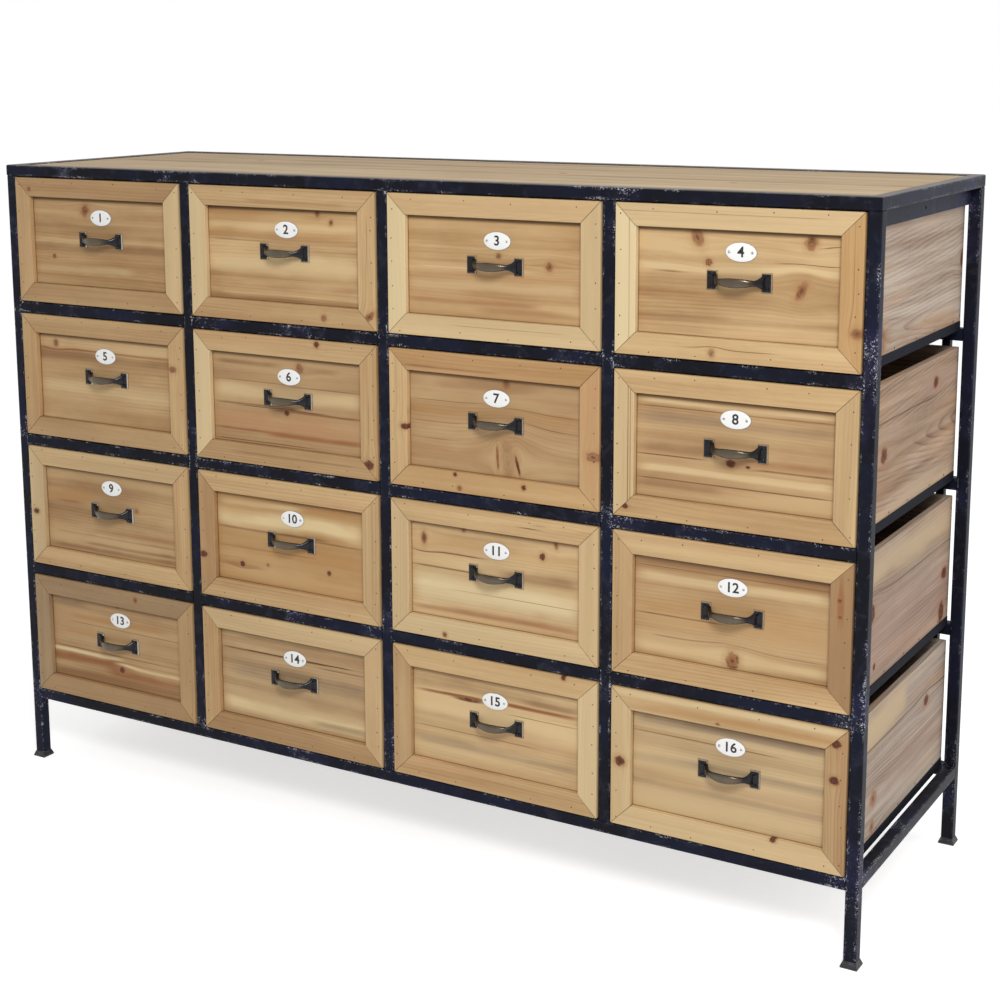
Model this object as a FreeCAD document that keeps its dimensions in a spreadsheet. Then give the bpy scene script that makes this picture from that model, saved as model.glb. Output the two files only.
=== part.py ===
import FreeCAD, Part
import os
import string

import Sketcher

# A free-standing chest of sixteen drawers. A welded frame of square steel tube carries them in four columns
# and four rows, on thin steel angles, under one wooden top. Each drawer is a nailed wooden box behind a
# front with mitred mouldings, and is opened by a cast iron pull.
COLUMNS = 4
ROWS = 4
DRAWER_LETTERS = string.ascii_lowercase[: COLUMNS * ROWS]

# Into how many straight chords each round stretch of an outline is divided.
CORNER_CHORD_COUNT = 2
MOULDING_CHORD_COUNT = 3
OUTER_BOW_CHORD_COUNT = 14
INNER_BOW_CHORD_COUNT = 12
HOLLOW_CHORD_COUNT = 4
SWELL_CHORD_COUNT = 4

# Driving dimensions, in millimetres.
SIZES = (
    ("tube_side", 15, "outside of the square tube"),
    ("tube_wall", 1.2, "wall of the tube"),
    ("tube_round", 1.8, "rounding of the tube's outer corners"),
    ("opening_width", 285, "clear width between two uprights"),
    ("opening_height", 169.5, "clear height between two rails"),
    ("frame_depth", 380, "front of the front legs to back of the back legs"),
    ("leg_clearance", 89, "floor to the underside of the bottom rails"),
    ("foot_height", 8, "floor to the lower end of the leg tubes"),
    ("foot_side", 20, "side of a foot cap where it stands on the floor"),
    ("foot_rim", 1.5, "upright rim of a foot cap below its flare"),
    ("plug_height", 12, "length of a foot cap's plug inside the leg"),
    ("plug_play", 0.1, "play round the plug"),
    ("top_board", 13.5, "thickness of the wooden top"),
    ("top_play", 1, "gap between the wooden top and the ring round it"),
    ("bearer_drop", 20, "upright leg of the angles under the top"),
    ("bearer_shelf", 20, "flat leg of the angles under the top"),
    ("bearer_sheet", 1.2, "sheet of the angles under the top"),
    ("bearer_lap", 2, "how far those angles reach under the ring"),
    ("bearer_hole", 4, "hole in the middle of each angle's upright leg"),
    ("runner_inset", 3.3, "edge of the opening to the runner"),
    ("runner_sheet", 1.2, "sheet of the runners"),
    ("runner_lip", 9.5, "upright leg of a runner above the rail"),
    ("runner_shelf", 12, "flat leg of a runner, below the drawer"),
    ("runner_play", 0.3, "play between a runner and the drawer beside it"),
    ("stop_side", 10, "side of the square bars that stop the drawers"),
    ("stop_inset", 16, "edge of the opening to a stop bar"),
    ("stop_play", 0.3, "gap between a closed drawer and its stop bars"),
    ("front_side_gap", 1.5, "gap beside a drawer front"),
    ("front_low_gap", 1.25, "gap under a drawer front"),
    ("front_top_gap", 1.25, "gap over a drawer front"),
    ("front_proud", 2, "how far the mouldings stand out of the frame"),
    ("front_board", 9, "thickness of the board behind the mouldings"),
    ("moulding_width", 25, "width of a moulding"),
    ("moulding_thick", 7.5, "thickness of a moulding"),
    ("moulding_ease", 1.2, "bevel of a moulding's outer edge"),
    ("moulding_curve", 1, "width of the quarter round at its inner edge"),
    ("moulding_lip", 6.5, "thickness left at its inner edge"),
    ("box_headroom", 7.5, "clear height over a drawer box"),
    ("box_side", 8, "thickness of a drawer's sides"),
    ("box_back", 8, "thickness of a drawer's back"),
    ("box_bottom", 4, "thickness of a drawer's bottom"),
    ("bottom_rise", 5, "underside of the sides to underside of the bottom"),
    ("pull_length", 75, "length of a pull over its plates"),
    ("pull_reach", 20, "how far a pull stands out of the board"),
    ("pull_right", 2.7, "middle of the front to the middle of the pull"),
    ("pull_down", 79.5, "top of the front to the middle of the pull"),
    ("plate_width", 12.5, "width of a pull's plate"),
    ("plate_height", 21.5, "height of a pull's plate"),
    ("plate_thick", 2.2, "thickness of a pull's plate"),
    ("plate_draft", 24, "slope of the plate's edges, in degrees"),
    ("grip_thick", 5, "thickness of the bow, from front to back"),
    ("grip_middle", 9.5, "height of the bow in its middle"),
    ("grip_neck", 6, "height of the bow at its necks"),
    ("neck_apart", 39, "distance between the two necks"),
    ("fan_height", 18, "height of the bow where it meets a plate"),
    ("fan_hollow", 1.7, "depth of the hollow between neck and plate"),
    ("root_inset", 6.5, "end of a plate to the outer root of the bow"),
)

# Sizes that follow from the driving ones.
column_pitch = "(sizes.opening_width + sizes.tube_side)"
row_pitch = "(sizes.opening_height + sizes.tube_side)"
frame_width = f"({COLUMNS} * {column_pitch} + sizes.tube_side)"
half_width = f"({frame_width} / 2)"
bottom_level = "(sizes.leg_clearance + sizes.tube_side)"
ring_level = f"(sizes.leg_clearance + {ROWS} * {row_pitch})"
inner_width = f"({frame_width} - 2 * sizes.tube_side)"
inner_depth = "(sizes.frame_depth - 2 * sizes.tube_side)"
foot_flare = "((sizes.foot_side - sizes.tube_side) / 2)"
board_face = "(sizes.moulding_thick - sizes.front_proud)"
box_front = f"({board_face} + sizes.front_board)"
box_end = "(sizes.frame_depth - sizes.stop_side - sizes.stop_play)"
box_height = "(sizes.opening_height - sizes.box_headroom)"
front_width = "(sizes.opening_width - 2 * sizes.front_side_gap)"
front_height = "(sizes.opening_height - sizes.front_low_gap - sizes.front_top_gap)"

# Where the frame's faces lie. The chest stands on the floor at zero, over the middle of its own outline,
# which reaches from the front of the pulls to the back of the foot caps.
pull_front = f"(sizes.pull_reach - {board_face})"
front_face = f"(({pull_front} - sizes.frame_depth - {foot_flare}) / 2)"
back_face = f"({front_face} + sizes.frame_depth)"
behind_front = f"({front_face} + sizes.tube_side)"
before_back = f"({back_face} - sizes.tube_side)"
left_face = f"(-{half_width})"
right_tube = f"({half_width} - sizes.tube_side)"
upright_lefts = [f"({left_face} + {number} * {column_pitch})" for number in range(1, COLUMNS)]

X_AXIS = FreeCAD.Vector(1, 0, 0)
Y_AXIS = FreeCAD.Vector(0, 1, 0)
Z_AXIS = FreeCAD.Vector(0, 0, 1)
STANDING = FreeCAD.Rotation()
ALONG_X = FreeCAD.Rotation(FreeCAD.Vector(1, 1, 1), 120)
ALONG_Y = FreeCAD.Rotation(FreeCAD.Vector(1, 1, 1), 240)
ON_EDGE = FreeCAD.Rotation(X_AXIS, 90)
TURNED_ROUND = FreeCAD.Rotation(Z_AXIS, 180)

doc = FreeCAD.newDocument("ChestOfDrawers")
sheet = doc.addObject("Spreadsheet::Sheet", "sizes")
for line, (name, size, meaning) in enumerate(SIZES, start=1):
    sheet.set(f"A{line}", name)
    sheet.set(f"B{line}", str(size))
    sheet.set(f"C{line}", meaning)
    sheet.setAlias(f"B{line}", name)
doc.recompute()


def worth(expression):
    """The number that an expression on the sheet stands for."""
    return float(sheet.evalExpression(expression))


def bind(thing, **expressions):
    """Ties properties of a feature to the sheet."""
    for name, expression in expressions.items():
        thing.setExpression(name, expression)
    return thing


def put(thing, x="0", y="0", z="0", turn=STANDING):
    """Turns a feature and ties its position to the sheet."""
    thing.Placement = FreeCAD.Placement(FreeCAD.Vector(), turn)
    for axis, expression in zip("xyz", (x, y, z)):
        thing.setExpression(f"Placement.Base.{axis}", expression)
    return thing


def copy_of(piece, x="0", y="0", z="0", turn=STANDING):
    """One more of a piece, in its own place."""
    link = doc.addObject("App::Link", f"{piece.Name}_copy")
    link.LinkedObject = piece
    link.LinkTransform = False
    return put(link, x, y, z, turn)


def group(label, pieces):
    """Separate solids that make one named sub-part."""
    compound = doc.addObject("Part::Compound", label)
    compound.Links = pieces
    compound.Label = label
    return compound


def block(name, length, width, height):
    """A rectangular piece."""
    return bind(doc.addObject("Part::Box", name), Length=length, Width=width, Height=height)


def draw_outline(sketch, corners):
    """Draws a closed outline through corners, given anticlockwise, and ties each of them to the sheet."""
    points = [FreeCAD.Vector(worth(across), worth(up), 0) for across, up in corners]
    first = sketch.GeometryCount
    for start, stop in zip(points, points[1:] + points[:1]):
        sketch.addGeometry(Part.LineSegment(start, stop), False)
    for number, corner in enumerate(corners):
        line = first + number
        following = first + (number + 1) % len(corners)
        sketch.addConstraint(Sketcher.Constraint("Coincident", line, 2, following, 1))
        for kind, expression in zip(("DistanceX", "DistanceY"), corner):
            constraint = Sketcher.Constraint(kind, -1, 1, line, 1, worth(expression))
            sketch.setExpression(f"Constraints[{sketch.addConstraint(constraint)}]", expression)


def bowed(start, stop, rise, steps):
    """The corners from start to just before stop, where equal chords follow an arc between the two.

    In its middle the arc stands out from the straight way by the rise, or in where the rise is negative.
    """
    across = f"({stop[0]} - ({start[0]}))"
    up = f"({stop[1]} - ({start[1]}))"
    chord = f"sqrt({across} ^ 2 + {up} ^ 2)"
    half_angle = f"(2 * atan(2 * {rise} / {chord}))"
    corners = [start]
    for step in range(1, steps):
        angle = f"({half_angle} * {2 * step - steps} / {steps})"
        along = f"((1 + sin({angle}) / sin({half_angle})) / 2)"
        out = f"((cos({angle}) - cos({half_angle})) / sin({half_angle}) / 2)"
        corners.append((
            f"{start[0]} + {across} * {along} + {up} * {out}",
            f"{start[1]} + {up} * {along} - {across} * {out}",
        ))
    return corners


def rectangle(left, low, right, high):
    """The corners of a rectangle, anticlockwise."""
    return [(left, low), (right, low), (right, high), (left, high)]


def extrusion(name, corners, length, turn=STANDING):
    """A length of bar with the given section, drawn out along the normal of its turned sketch."""
    section = doc.addObject("Sketcher::SketchObject", f"{name}_section")
    for outline in corners:
        draw_outline(section, outline)
    section.Placement = FreeCAD.Placement(FreeCAD.Vector(), turn)
    bar = doc.addObject("Part::Extrusion", name)
    bar.Base = section
    bar.DirMode = "Normal"
    bar.Solid = True
    return bind(bar, LengthFwd=length)


def tube(name, length, turn=STANDING):
    """A length of the frame's square tube: rounded outer corners and a square bore."""
    side = "sizes.tube_side"
    near = "sizes.tube_round"
    far = "(sizes.tube_side - sizes.tube_round)"
    rise = "(sizes.tube_round * (1 - sqrt(0.5)))"
    outer = [
        *bowed((far, "0"), (side, near), rise, CORNER_CHORD_COUNT), (side, near),
        *bowed((side, far), (far, side), rise, CORNER_CHORD_COUNT), (far, side),
        *bowed((near, side), ("0", far), rise, CORNER_CHORD_COUNT), ("0", far),
        *bowed(("0", near), (near, "0"), rise, CORNER_CHORD_COUNT), (near, "0"),
    ]
    bore_far = "(sizes.tube_side - sizes.tube_wall)"
    bore = rectangle("sizes.tube_wall", "sizes.tube_wall", bore_far, bore_far)
    return extrusion(name, [outer, bore], length, turn)


def mitred(blank, length, width, thickness):
    """A blank along X with both ends cut at 45 degrees, longest along its outer edge."""
    wedge = doc.addObject("Part::Wedge", f"{blank.Name}_mitres")
    bind(wedge, Xmin="0", Xmax=length, Ymin="0", Ymax=width, Zmin="0", Zmax=thickness)
    bind(wedge, X2min=width, X2max=f"{length} - {width}", Z2min="0", Z2max=thickness)
    piece = doc.addObject("Part::Common", f"{blank.Name}_mitred")
    piece.Base = blank
    piece.Tool = wedge
    return piece


def openings(lowest_row=0):
    """The lower left front corner of each opening, from the top row down, left to right."""
    for row in reversed(range(lowest_row, ROWS)):
        for column in range(COLUMNS):
            x = f"{left_face} + sizes.tube_side + {column} * {column_pitch}"
            yield x, f"{bottom_level} + {row} * {row_pitch}"


def make_foot_caps():
    """Four flared caps, each with a plug that fills the lower end of its leg."""
    cap = doc.addObject("PartDesign::Body", "foot_cap")
    floor_plane = next(item for item in cap.Origin.OriginFeatures if item.Role == "XY_Plane")

    def square(name, level, side):
        sketch = cap.newObject("Sketcher::SketchObject", name)
        sketch.AttachmentSupport = (floor_plane, [""])
        sketch.MapMode = "FlatFace"
        sketch.setExpression("AttachmentOffset.Base.z", level)
        half = f"({side} / 2)"
        draw_outline(sketch, rectangle(f"-{half}", f"-{half}", half, half))
        return sketch

    rim = cap.newObject("PartDesign::Pad", "rim")
    rim.Profile = square("sole", "0", "sizes.foot_side")
    bind(rim, Length="sizes.foot_rim")
    flare = cap.newObject("PartDesign::AdditiveLoft", "flare")
    flare.Profile = square("flare_foot", "sizes.foot_rim", "sizes.foot_side")
    flare.Sections = [square("flare_head", "sizes.foot_height", "sizes.tube_side")]
    flare.Ruled = True
    plug = cap.newObject("PartDesign::Pad", "plug")
    plug_side = "(sizes.tube_side - 2 * sizes.tube_wall - 2 * sizes.plug_play)"
    plug.Profile = square("plug_foot", "sizes.foot_height", plug_side)
    bind(plug, Length="sizes.plug_height")
    cap.Tip = plug

    to_middle = "sizes.tube_side / 2"
    across = (f"{left_face} + {to_middle}", f"{right_tube} + {to_middle}")
    along = (f"{front_face} + {to_middle}", f"{before_back} + {to_middle}")
    return group("foot_caps", [copy_of(cap, x, y) for x in across for y in along])


def make_top_ring():
    """Four tubes with mitred ends, welded into the ring round the top."""
    side = "sizes.tube_side"
    sides = {}
    for name, length in (("ring_long", frame_width), ("ring_short", "sizes.frame_depth")):
        sides[name] = mitred(tube(name, length, ALONG_X), length, side, side)
    corners = (
        ("ring_long", left_face, front_face, 0),
        ("ring_short", half_width, front_face, 90),
        ("ring_long", half_width, back_face, 180),
        ("ring_short", left_face, back_face, 270),
    )
    return group("top_ring", [
        copy_of(sides[name], x, y, ring_level, FreeCAD.Rotation(Z_AXIS, degrees))
        for name, x, y, degrees in corners
    ])


def make_frame():
    """Legs, uprights and rails. Front and back have the same grid, and the side rails join them."""
    leg = tube("leg", f"{ring_level} - sizes.foot_height")
    upright = tube("upright", f"{ring_level} - {bottom_level}")
    bottom_rail = tube("bottom_rail", inner_width)
    short_rail = tube("short_rail", "sizes.opening_width")
    side_rail = tube("side_rail", inner_depth)

    def upright_row(y):
        return [copy_of(upright, x, y, bottom_level) for x in upright_lefts]

    def rail_rows(y):
        rails = [copy_of(bottom_rail, right_of_leg, y, bottom, ALONG_X)]
        for x, z in openings(lowest_row=1):
            rails.append(copy_of(short_rail, x, y, f"{z} - sizes.tube_side", ALONG_X))
        return rails

    bottom = "sizes.leg_clearance"
    right_of_leg = f"{left_face} + sizes.tube_side"
    ends = (left_face, right_tube)
    depths = (front_face, before_back)
    return [
        group("legs", [copy_of(leg, x, y, "sizes.foot_height") for x in ends for y in depths]),
        group("front_uprights", upright_row(front_face)),
        group("back_uprights", upright_row(before_back)),
        group("front_rails", rail_rows(front_face)),
        group("back_rails", rail_rows(before_back)),
        group("side_rails", [copy_of(side_rail, x, behind_front, bottom, ALONG_Y) for x in ends]),
    ]


def make_top():
    """The wooden top, sunk between the sides of the ring, and the angles and bars that carry it."""
    play = "(sizes.tube_side + sizes.top_play)"
    length = f"{frame_width} - 2 * {play}"
    panel = block("panel", length, f"sizes.frame_depth - 2 * {play}", "sizes.top_board")
    put(panel, f"{left_face} + {play}", f"{front_face} + {play}", ring_level)
    panel.Label = "top_panel"

    sheet_thick = "sizes.bearer_sheet"
    drop = "sizes.bearer_drop"
    section = [
        ("0", "0"), (sheet_thick, "0"), (sheet_thick, f"{drop} - {sheet_thick}"),
        ("sizes.bearer_shelf", f"{drop} - {sheet_thick}"), ("sizes.bearer_shelf", drop), ("0", drop),
    ]
    drill = doc.addObject("Part::Cylinder", "bearer_drill")
    bind(drill, Radius="sizes.bearer_hole / 2", Height=f"2 * {sheet_thick}")
    drill_level = f"({drop} - {sheet_thick}) / 2"
    put(drill, f"-{sheet_thick} / 2", f"-{inner_depth} / 2", drill_level, FreeCAD.Rotation(Y_AXIS, 90))
    bearer = doc.addObject("Part::Cut", "bearer")
    bearer.Base = extrusion("bearer_blank", [section], inner_depth, ON_EDGE)
    bearer.Tool = drill
    reach = f"({half_width} - sizes.tube_side + sizes.bearer_lap)"
    level = f"{ring_level} - {drop}"
    left = copy_of(bearer, f"-{reach}", before_back, level)
    right = copy_of(bearer, reach, behind_front, level, TURNED_ROUND)

    crossbar = tube("crossbar", inner_depth)
    bar_level = f"{ring_level} - sizes.tube_side"
    bars = [copy_of(crossbar, x, behind_front, bar_level, ALONG_Y) for x in upright_lefts]
    return [group("top_bearers", [left, right] + bars), panel]


def make_runners():
    """Two sheet steel angles in each opening, from front rail to back rail. The drawer slides on them."""
    sheet_thick = "sizes.runner_sheet"
    shelf = "sizes.runner_shelf"
    lip = "sizes.runner_lip"
    section = [
        ("0", f"-{sheet_thick}"), (shelf, f"-{sheet_thick}"), (shelf, "0"),
        (sheet_thick, "0"), (sheet_thick, lip), ("0", lip),
    ]
    runner = extrusion("runner", [section], inner_depth, ON_EDGE)
    runners = []
    for x, z in openings():
        right = f"{x} + sizes.opening_width - sizes.runner_inset"
        runners.append(copy_of(runner, f"{x} + sizes.runner_inset", before_back, z))
        runners.append(copy_of(runner, right, behind_front, z, TURNED_ROUND))
    return group("drawer_runners", runners)


def make_stops():
    """Two upright bars at the back of each opening, between its rails. The closed drawer meets them."""
    bar = block("stop_bar", "sizes.stop_side", "sizes.stop_side", "sizes.opening_height")
    insets = ("sizes.stop_inset", "sizes.opening_width - sizes.stop_inset - sizes.stop_side")
    y = f"{back_face} - sizes.stop_side"
    stops = [copy_of(bar, f"{x} + {inset}", y, z) for x, z in openings() for inset in insets]
    return group("drawer_stops", stops)


def make_drawer_front():
    """A board with four mouldings, mitred at the corners, glued and pinned to its face."""
    width = "sizes.moulding_width"
    thick = "sizes.moulding_thick"
    ease = "sizes.moulding_ease"
    curve = "sizes.moulding_curve"
    lip = (width, "sizes.moulding_lip")
    brow = (f"{width} - {curve}", thick)
    quarter_round = bowed(lip, brow, f"({curve} * (1 - sqrt(0.5)))", MOULDING_CHORD_COUNT)
    section = [("0", "0"), (width, "0"), *quarter_round, brow, (ease, thick), ("0", f"{thick} - {ease}")]
    mouldings = {}
    for name, length in (("moulding_long", front_width), ("moulding_short", front_height)):
        mouldings[name] = mitred(extrusion(name, [section], length, ALONG_X), length, width, thick)

    left = "sizes.front_side_gap"
    right = f"{left} + {front_width}"
    low = "sizes.front_low_gap"
    high = f"{low} + {front_height}"
    corners = (
        ("moulding_long", left, low, 0),
        ("moulding_short", left, high, 90),
        ("moulding_long", right, high, 180),
        ("moulding_short", right, low, 270),
    )
    board = block("board", front_width, "sizes.front_board", front_height)
    pieces = [put(board, left, board_face, low)]
    for name, x, z, degrees in corners:
        turn = FreeCAD.Rotation(Y_AXIS, degrees) * ON_EDGE
        pieces.append(copy_of(mouldings[name], x, board_face, z, turn))
    return group("drawer_front", pieces)


def make_drawer_box():
    """Two sides, with the back and the bottom nailed between them, nailed to the back of the front board."""
    length = f"({box_end} - {box_front})"
    left = "(sizes.runner_inset + sizes.runner_sheet + sizes.runner_play)"
    inner_left = f"({left} + sizes.box_side)"
    inner_right = f"(sizes.opening_width - {inner_left})"
    between = f"({inner_right} - {inner_left})"
    side = block("box_side_board", "sizes.box_side", length, box_height)
    back = block("box_back_board", between, "sizes.box_back", box_height)
    bottom = block("box_bottom_board", between, f"{length} - sizes.box_back", "sizes.box_bottom")
    return group("drawer_box", [
        copy_of(side, left, box_front),
        copy_of(side, inner_right, box_front),
        put(back, inner_left, f"{box_end} - sizes.box_back"),
        put(bottom, inner_left, box_front, "sizes.bottom_rise"),
    ])


def make_pull():
    """A cast iron pull: two plates with sloping edges, and a bow that fans out where it meets each plate.

    Seen from above the bow lies between two arcs. Seen from the front it swells in its middle, narrows to a
    neck on each side and opens through a hollow to a fan, whose ridges run down to the root on the plate.
    """
    pull = doc.addObject("PartDesign::Body", "pull")
    planes = {item.Role: item for item in pull.Origin.OriginFeatures}

    def sketch_on(role, name, outlines):
        sketch = pull.newObject("Sketcher::SketchObject", name)
        sketch.AttachmentSupport = (planes[role], [""])
        sketch.MapMode = "FlatFace"
        for outline in outlines:
            draw_outline(sketch, outline)
        return sketch

    outside = "(sizes.pull_length / 2)"
    outer_root = "(sizes.pull_length / 2 - sizes.root_inset)"
    inner_root = "(sizes.pull_length / 2 - sizes.plate_width)"
    reach = "sizes.pull_reach"
    inner_reach = "(sizes.pull_reach - sizes.grip_thick)"
    bow = pull.newObject("PartDesign::Pad", "bow")
    bow.Profile = sketch_on("XY_Plane", "bow_from_above", [[
        *bowed((f"-{outer_root}", "0"), (outer_root, "0"), reach, OUTER_BOW_CHORD_COUNT), (outer_root, "0"),
        *bowed((inner_root, "0"), (f"-{inner_root}", "0"), f"-{inner_reach}", INNER_BOW_CHORD_COUNT),
        (f"-{inner_root}", "0"),
    ]])
    bow.SideType = "Symmetric"
    bind(bow, Length="sizes.fan_height")

    neck = "(sizes.neck_apart / 2)"
    fan = "(sizes.fan_height / 2)"
    half_neck = "(sizes.grip_neck / 2)"
    swell = "((sizes.grip_middle - sizes.grip_neck) / 2)"
    beyond = "sizes.fan_height"
    above = [
        (f"-{outside}", half_neck), (f"-{outer_root}", half_neck),
        *bowed((f"-{inner_root}", fan), (f"-{neck}", half_neck), "sizes.fan_hollow", HOLLOW_CHORD_COUNT),
        *bowed((f"-{neck}", half_neck), (neck, half_neck), f"-{swell}", SWELL_CHORD_COUNT),
        *bowed((neck, half_neck), (inner_root, fan), "sizes.fan_hollow", HOLLOW_CHORD_COUNT),
        (inner_root, fan), (outer_root, half_neck), (outside, half_neck),
        (outside, beyond), (f"-{outside}", beyond),
    ]
    below = [(f"-({across})", f"-({up})") for across, up in above]
    trim = pull.newObject("PartDesign::Pocket", "trim")
    trim.Profile = sketch_on("XZ_Plane", "waste_above_and_below", [above, below])
    trim.SideType = "Symmetric"
    bind(trim, Length="4 * sizes.pull_reach")

    half_plate = "(sizes.plate_height / 2)"
    plates = pull.newObject("PartDesign::Pad", "plates")
    plates.Profile = sketch_on("XZ_Plane", "plates_from_front", [
        rectangle(f"-{outside}", f"-{half_plate}", f"-{inner_root}", half_plate),
        rectangle(inner_root, f"-{half_plate}", outside, half_plate),
    ])
    bind(plates, Length="sizes.plate_thick", TaperAngle="-sizes.plate_draft")
    pull.Tip = plates
    doc.recompute()
    if trim.Shape.Volume >= bow.Shape.Volume:
        raise RuntimeError("the bow of the pull was not trimmed")
    return pull


def make_drawers():
    """Sixteen drawers, each a front, a box and a pull in the place of its opening."""
    front = make_drawer_front()
    box = make_drawer_box()
    pull = make_pull()
    pull_x = "sizes.opening_width / 2 + sizes.pull_right"
    pull_z = f"sizes.front_low_gap + {front_height} - sizes.pull_down"
    pieces = []
    for letter, (x, z) in zip(DRAWER_LETTERS, openings()):
        places = (
            ("front", front, x, front_face, z),
            ("box", box, x, front_face, z),
            ("pull", pull, f"{x} + {pull_x}", f"{front_face} + {board_face}", f"{z} + {pull_z}"),
        )
        for kind, master, *place in places:
            piece = copy_of(master, *place)
            piece.Label = f"drawer_{letter}_{kind}"
            pieces.append(piece)
    return pieces


parts = [make_foot_caps(), make_top_ring(), *make_frame(), *make_top()]
parts += [make_runners(), make_stops(), *make_drawers()]
doc.recompute()

for item in doc.Objects:
    if "Invalid" in item.State or "Error" in item.State:
        raise RuntimeError(f"{item.Label} did not rebuild: {item.State}")
os.makedirs("parts", exist_ok=True)
for part in parts:
    shape = Part.getShape(part)
    if shape.isNull() or not shape.isValid():
        raise RuntimeError(f"{part.Label} has no valid shape")
    shape.exportStep(os.path.join("parts", f"{part.Label}.step"))
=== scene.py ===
import math
import random

import bmesh
import bpy
from mathutils import Matrix, Vector


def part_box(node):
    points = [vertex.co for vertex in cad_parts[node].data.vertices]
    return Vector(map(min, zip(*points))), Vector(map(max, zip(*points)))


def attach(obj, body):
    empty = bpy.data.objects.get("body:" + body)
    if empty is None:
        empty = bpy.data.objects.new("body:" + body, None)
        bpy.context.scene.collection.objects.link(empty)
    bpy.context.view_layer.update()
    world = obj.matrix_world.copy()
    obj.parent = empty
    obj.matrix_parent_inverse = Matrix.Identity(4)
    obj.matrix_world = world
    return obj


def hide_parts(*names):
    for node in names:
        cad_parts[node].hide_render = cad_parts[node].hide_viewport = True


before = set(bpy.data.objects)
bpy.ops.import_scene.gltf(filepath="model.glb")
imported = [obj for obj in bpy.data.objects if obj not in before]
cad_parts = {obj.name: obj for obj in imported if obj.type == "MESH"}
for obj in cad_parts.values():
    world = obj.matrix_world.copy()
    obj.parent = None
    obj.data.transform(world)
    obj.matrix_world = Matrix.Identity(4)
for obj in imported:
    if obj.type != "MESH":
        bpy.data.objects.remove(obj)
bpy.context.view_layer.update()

# The frame is welded from square steel tube of 15 mm: legs, uprights and rails in the same grid on front and
# back, a rail along each side, and a mitred ring round the top. It is painted a near black blue, and the
# paint is rubbed and speckled with white along the edges and at the welds.
TUBE = 15
HALF_TUBE = TUBE / 2
COLUMN_PITCH = 300
ROW_PITCH = 184.5
BOTTOM_LINE = 96.5
COLUMN_LINES = tuple(COLUMN_PITCH * column for column in range(-2, 3))
ROW_LINES = tuple(BOTTOM_LINE + ROW_PITCH * row for row in range(5))
FRONT_FACE = -184.0
BACK_FACE = 196.0
FRONT_LINE = FRONT_FACE + HALF_TUBE
BACK_LINE = BACK_FACE - HALF_TUBE


def tint(red, green, blue):
    """A colour of three levels from 0 to 255, made linear."""
    linear = []
    for level in (red, green, blue):
        share = level / 255
        linear.append(share / 12.92 if share <= 0.04045 else ((share + 0.055) / 1.055) ** 2.4)
    return (*linear, 1)


class Signal:
    """A socket in a node tree, on which an expression adds its Math nodes."""

    def __init__(self, wiring, socket):
        self.wiring = wiring
        self.socket = socket

    def joint(self, operation, *terms):
        return self.wiring.node("ShaderNodeMath", {"operation": operation}, dict(enumerate(terms)))

    def math(self, operation, *others):
        return self.joint(operation, self, *others)

    def __add__(self, other):
        return self.joint("ADD", self, other)

    def __radd__(self, other):
        return self.joint("ADD", other, self)

    def __sub__(self, other):
        return self.joint("SUBTRACT", self, other)

    def __rsub__(self, other):
        return self.joint("SUBTRACT", other, self)

    def __mul__(self, other):
        return self.joint("MULTIPLY", self, other)

    def __rmul__(self, other):
        return self.joint("MULTIPLY", other, self)

    def __truediv__(self, other):
        return self.joint("DIVIDE", self, other)

    def __pow__(self, other):
        return self.joint("POWER", self, other)

    def __rpow__(self, other):
        return self.joint("POWER", other, self)

    def ramp(self, start, end):
        """Rises smoothly from 0 where this is start to 1 where it is end."""
        smooth = {"interpolation_type": "SMOOTHSTEP"}
        return self.wiring.node("ShaderNodeMapRange", smooth, {0: self, 1: start, 2: end, 3: 0.0, 4: 1.0})


class Wiring:
    """A node tree that is filled node by node."""

    def __init__(self, tree):
        self.tree = tree

    def node(self, kind, settings=None, sockets=None, output=0):
        """One node: its settings are made first, then its sockets get their values or links."""
        made = self.tree.nodes.new(kind)
        for name, value in (settings or {}).items():
            setattr(made, name, value)
        for key, value in (sockets or {}).items():
            self.feed(made.inputs[key], value)
        return Signal(self, made.outputs[output])

    def feed(self, socket, value):
        if isinstance(value, Signal):
            self.tree.links.new(value.socket, socket)
        else:
            socket.default_value = value

    def outputs(self, signal):
        return [Signal(self, socket) for socket in signal.socket.node.outputs]

    def parts(self, vector):
        return self.outputs(self.node("ShaderNodeSeparateXYZ", sockets={0: vector}))

    def joined(self, x, y, z=0.0):
        return self.node("ShaderNodeCombineXYZ", sockets={0: x, 1: y, 2: z})

    def length(self, vector):
        return self.node("ShaderNodeVectorMath", {"operation": "LENGTH"}, {0: vector}, output="Value")


class Finish(Wiring):
    """A material that ends in one Principled shader."""

    def __init__(self, name):
        self.material = bpy.data.materials.new(name)
        self.material.use_nodes = True
        super().__init__(self.material.node_tree)
        self.shader = self.tree.nodes["Principled BSDF"]

    def surface(self, **sockets):
        for name, value in sockets.items():
            self.feed(self.shader.inputs[name.replace("_", " ")], value)
        return self.material

    def mixed(self, share, first, second):
        return self.node("ShaderNodeMix", {"data_type": "RGBA"}, {0: share, 6: first, 7: second}, output=2)

    def place(self):
        return self.node("ShaderNodeTexCoord", output="Object")

    def attribute(self, name):
        return self.node("ShaderNodeAttribute", {"attribute_name": name}, output="Fac")

    def scaled(self, vector, scale, shift=(0, 0, 0)):
        sockets = {0: vector, 1: scale, 2: shift}
        return self.node("ShaderNodeVectorMath", {"operation": "MULTIPLY_ADD"}, sockets)

    def noise(self, vector, scale=1.0, detail=2.0, rough=0.5, warp=0.0):
        shape = {"Scale": scale, "Detail": detail, "Roughness": rough, "Distortion": warp}
        return self.node("ShaderNodeTexNoise", sockets={"Vector": vector, **shape})

    def bump(self, height, strength, distance):
        return self.node(
            "ShaderNodeBump", sockets={"Height": height, "Strength": strength, "Distance": distance}
        )


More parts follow.
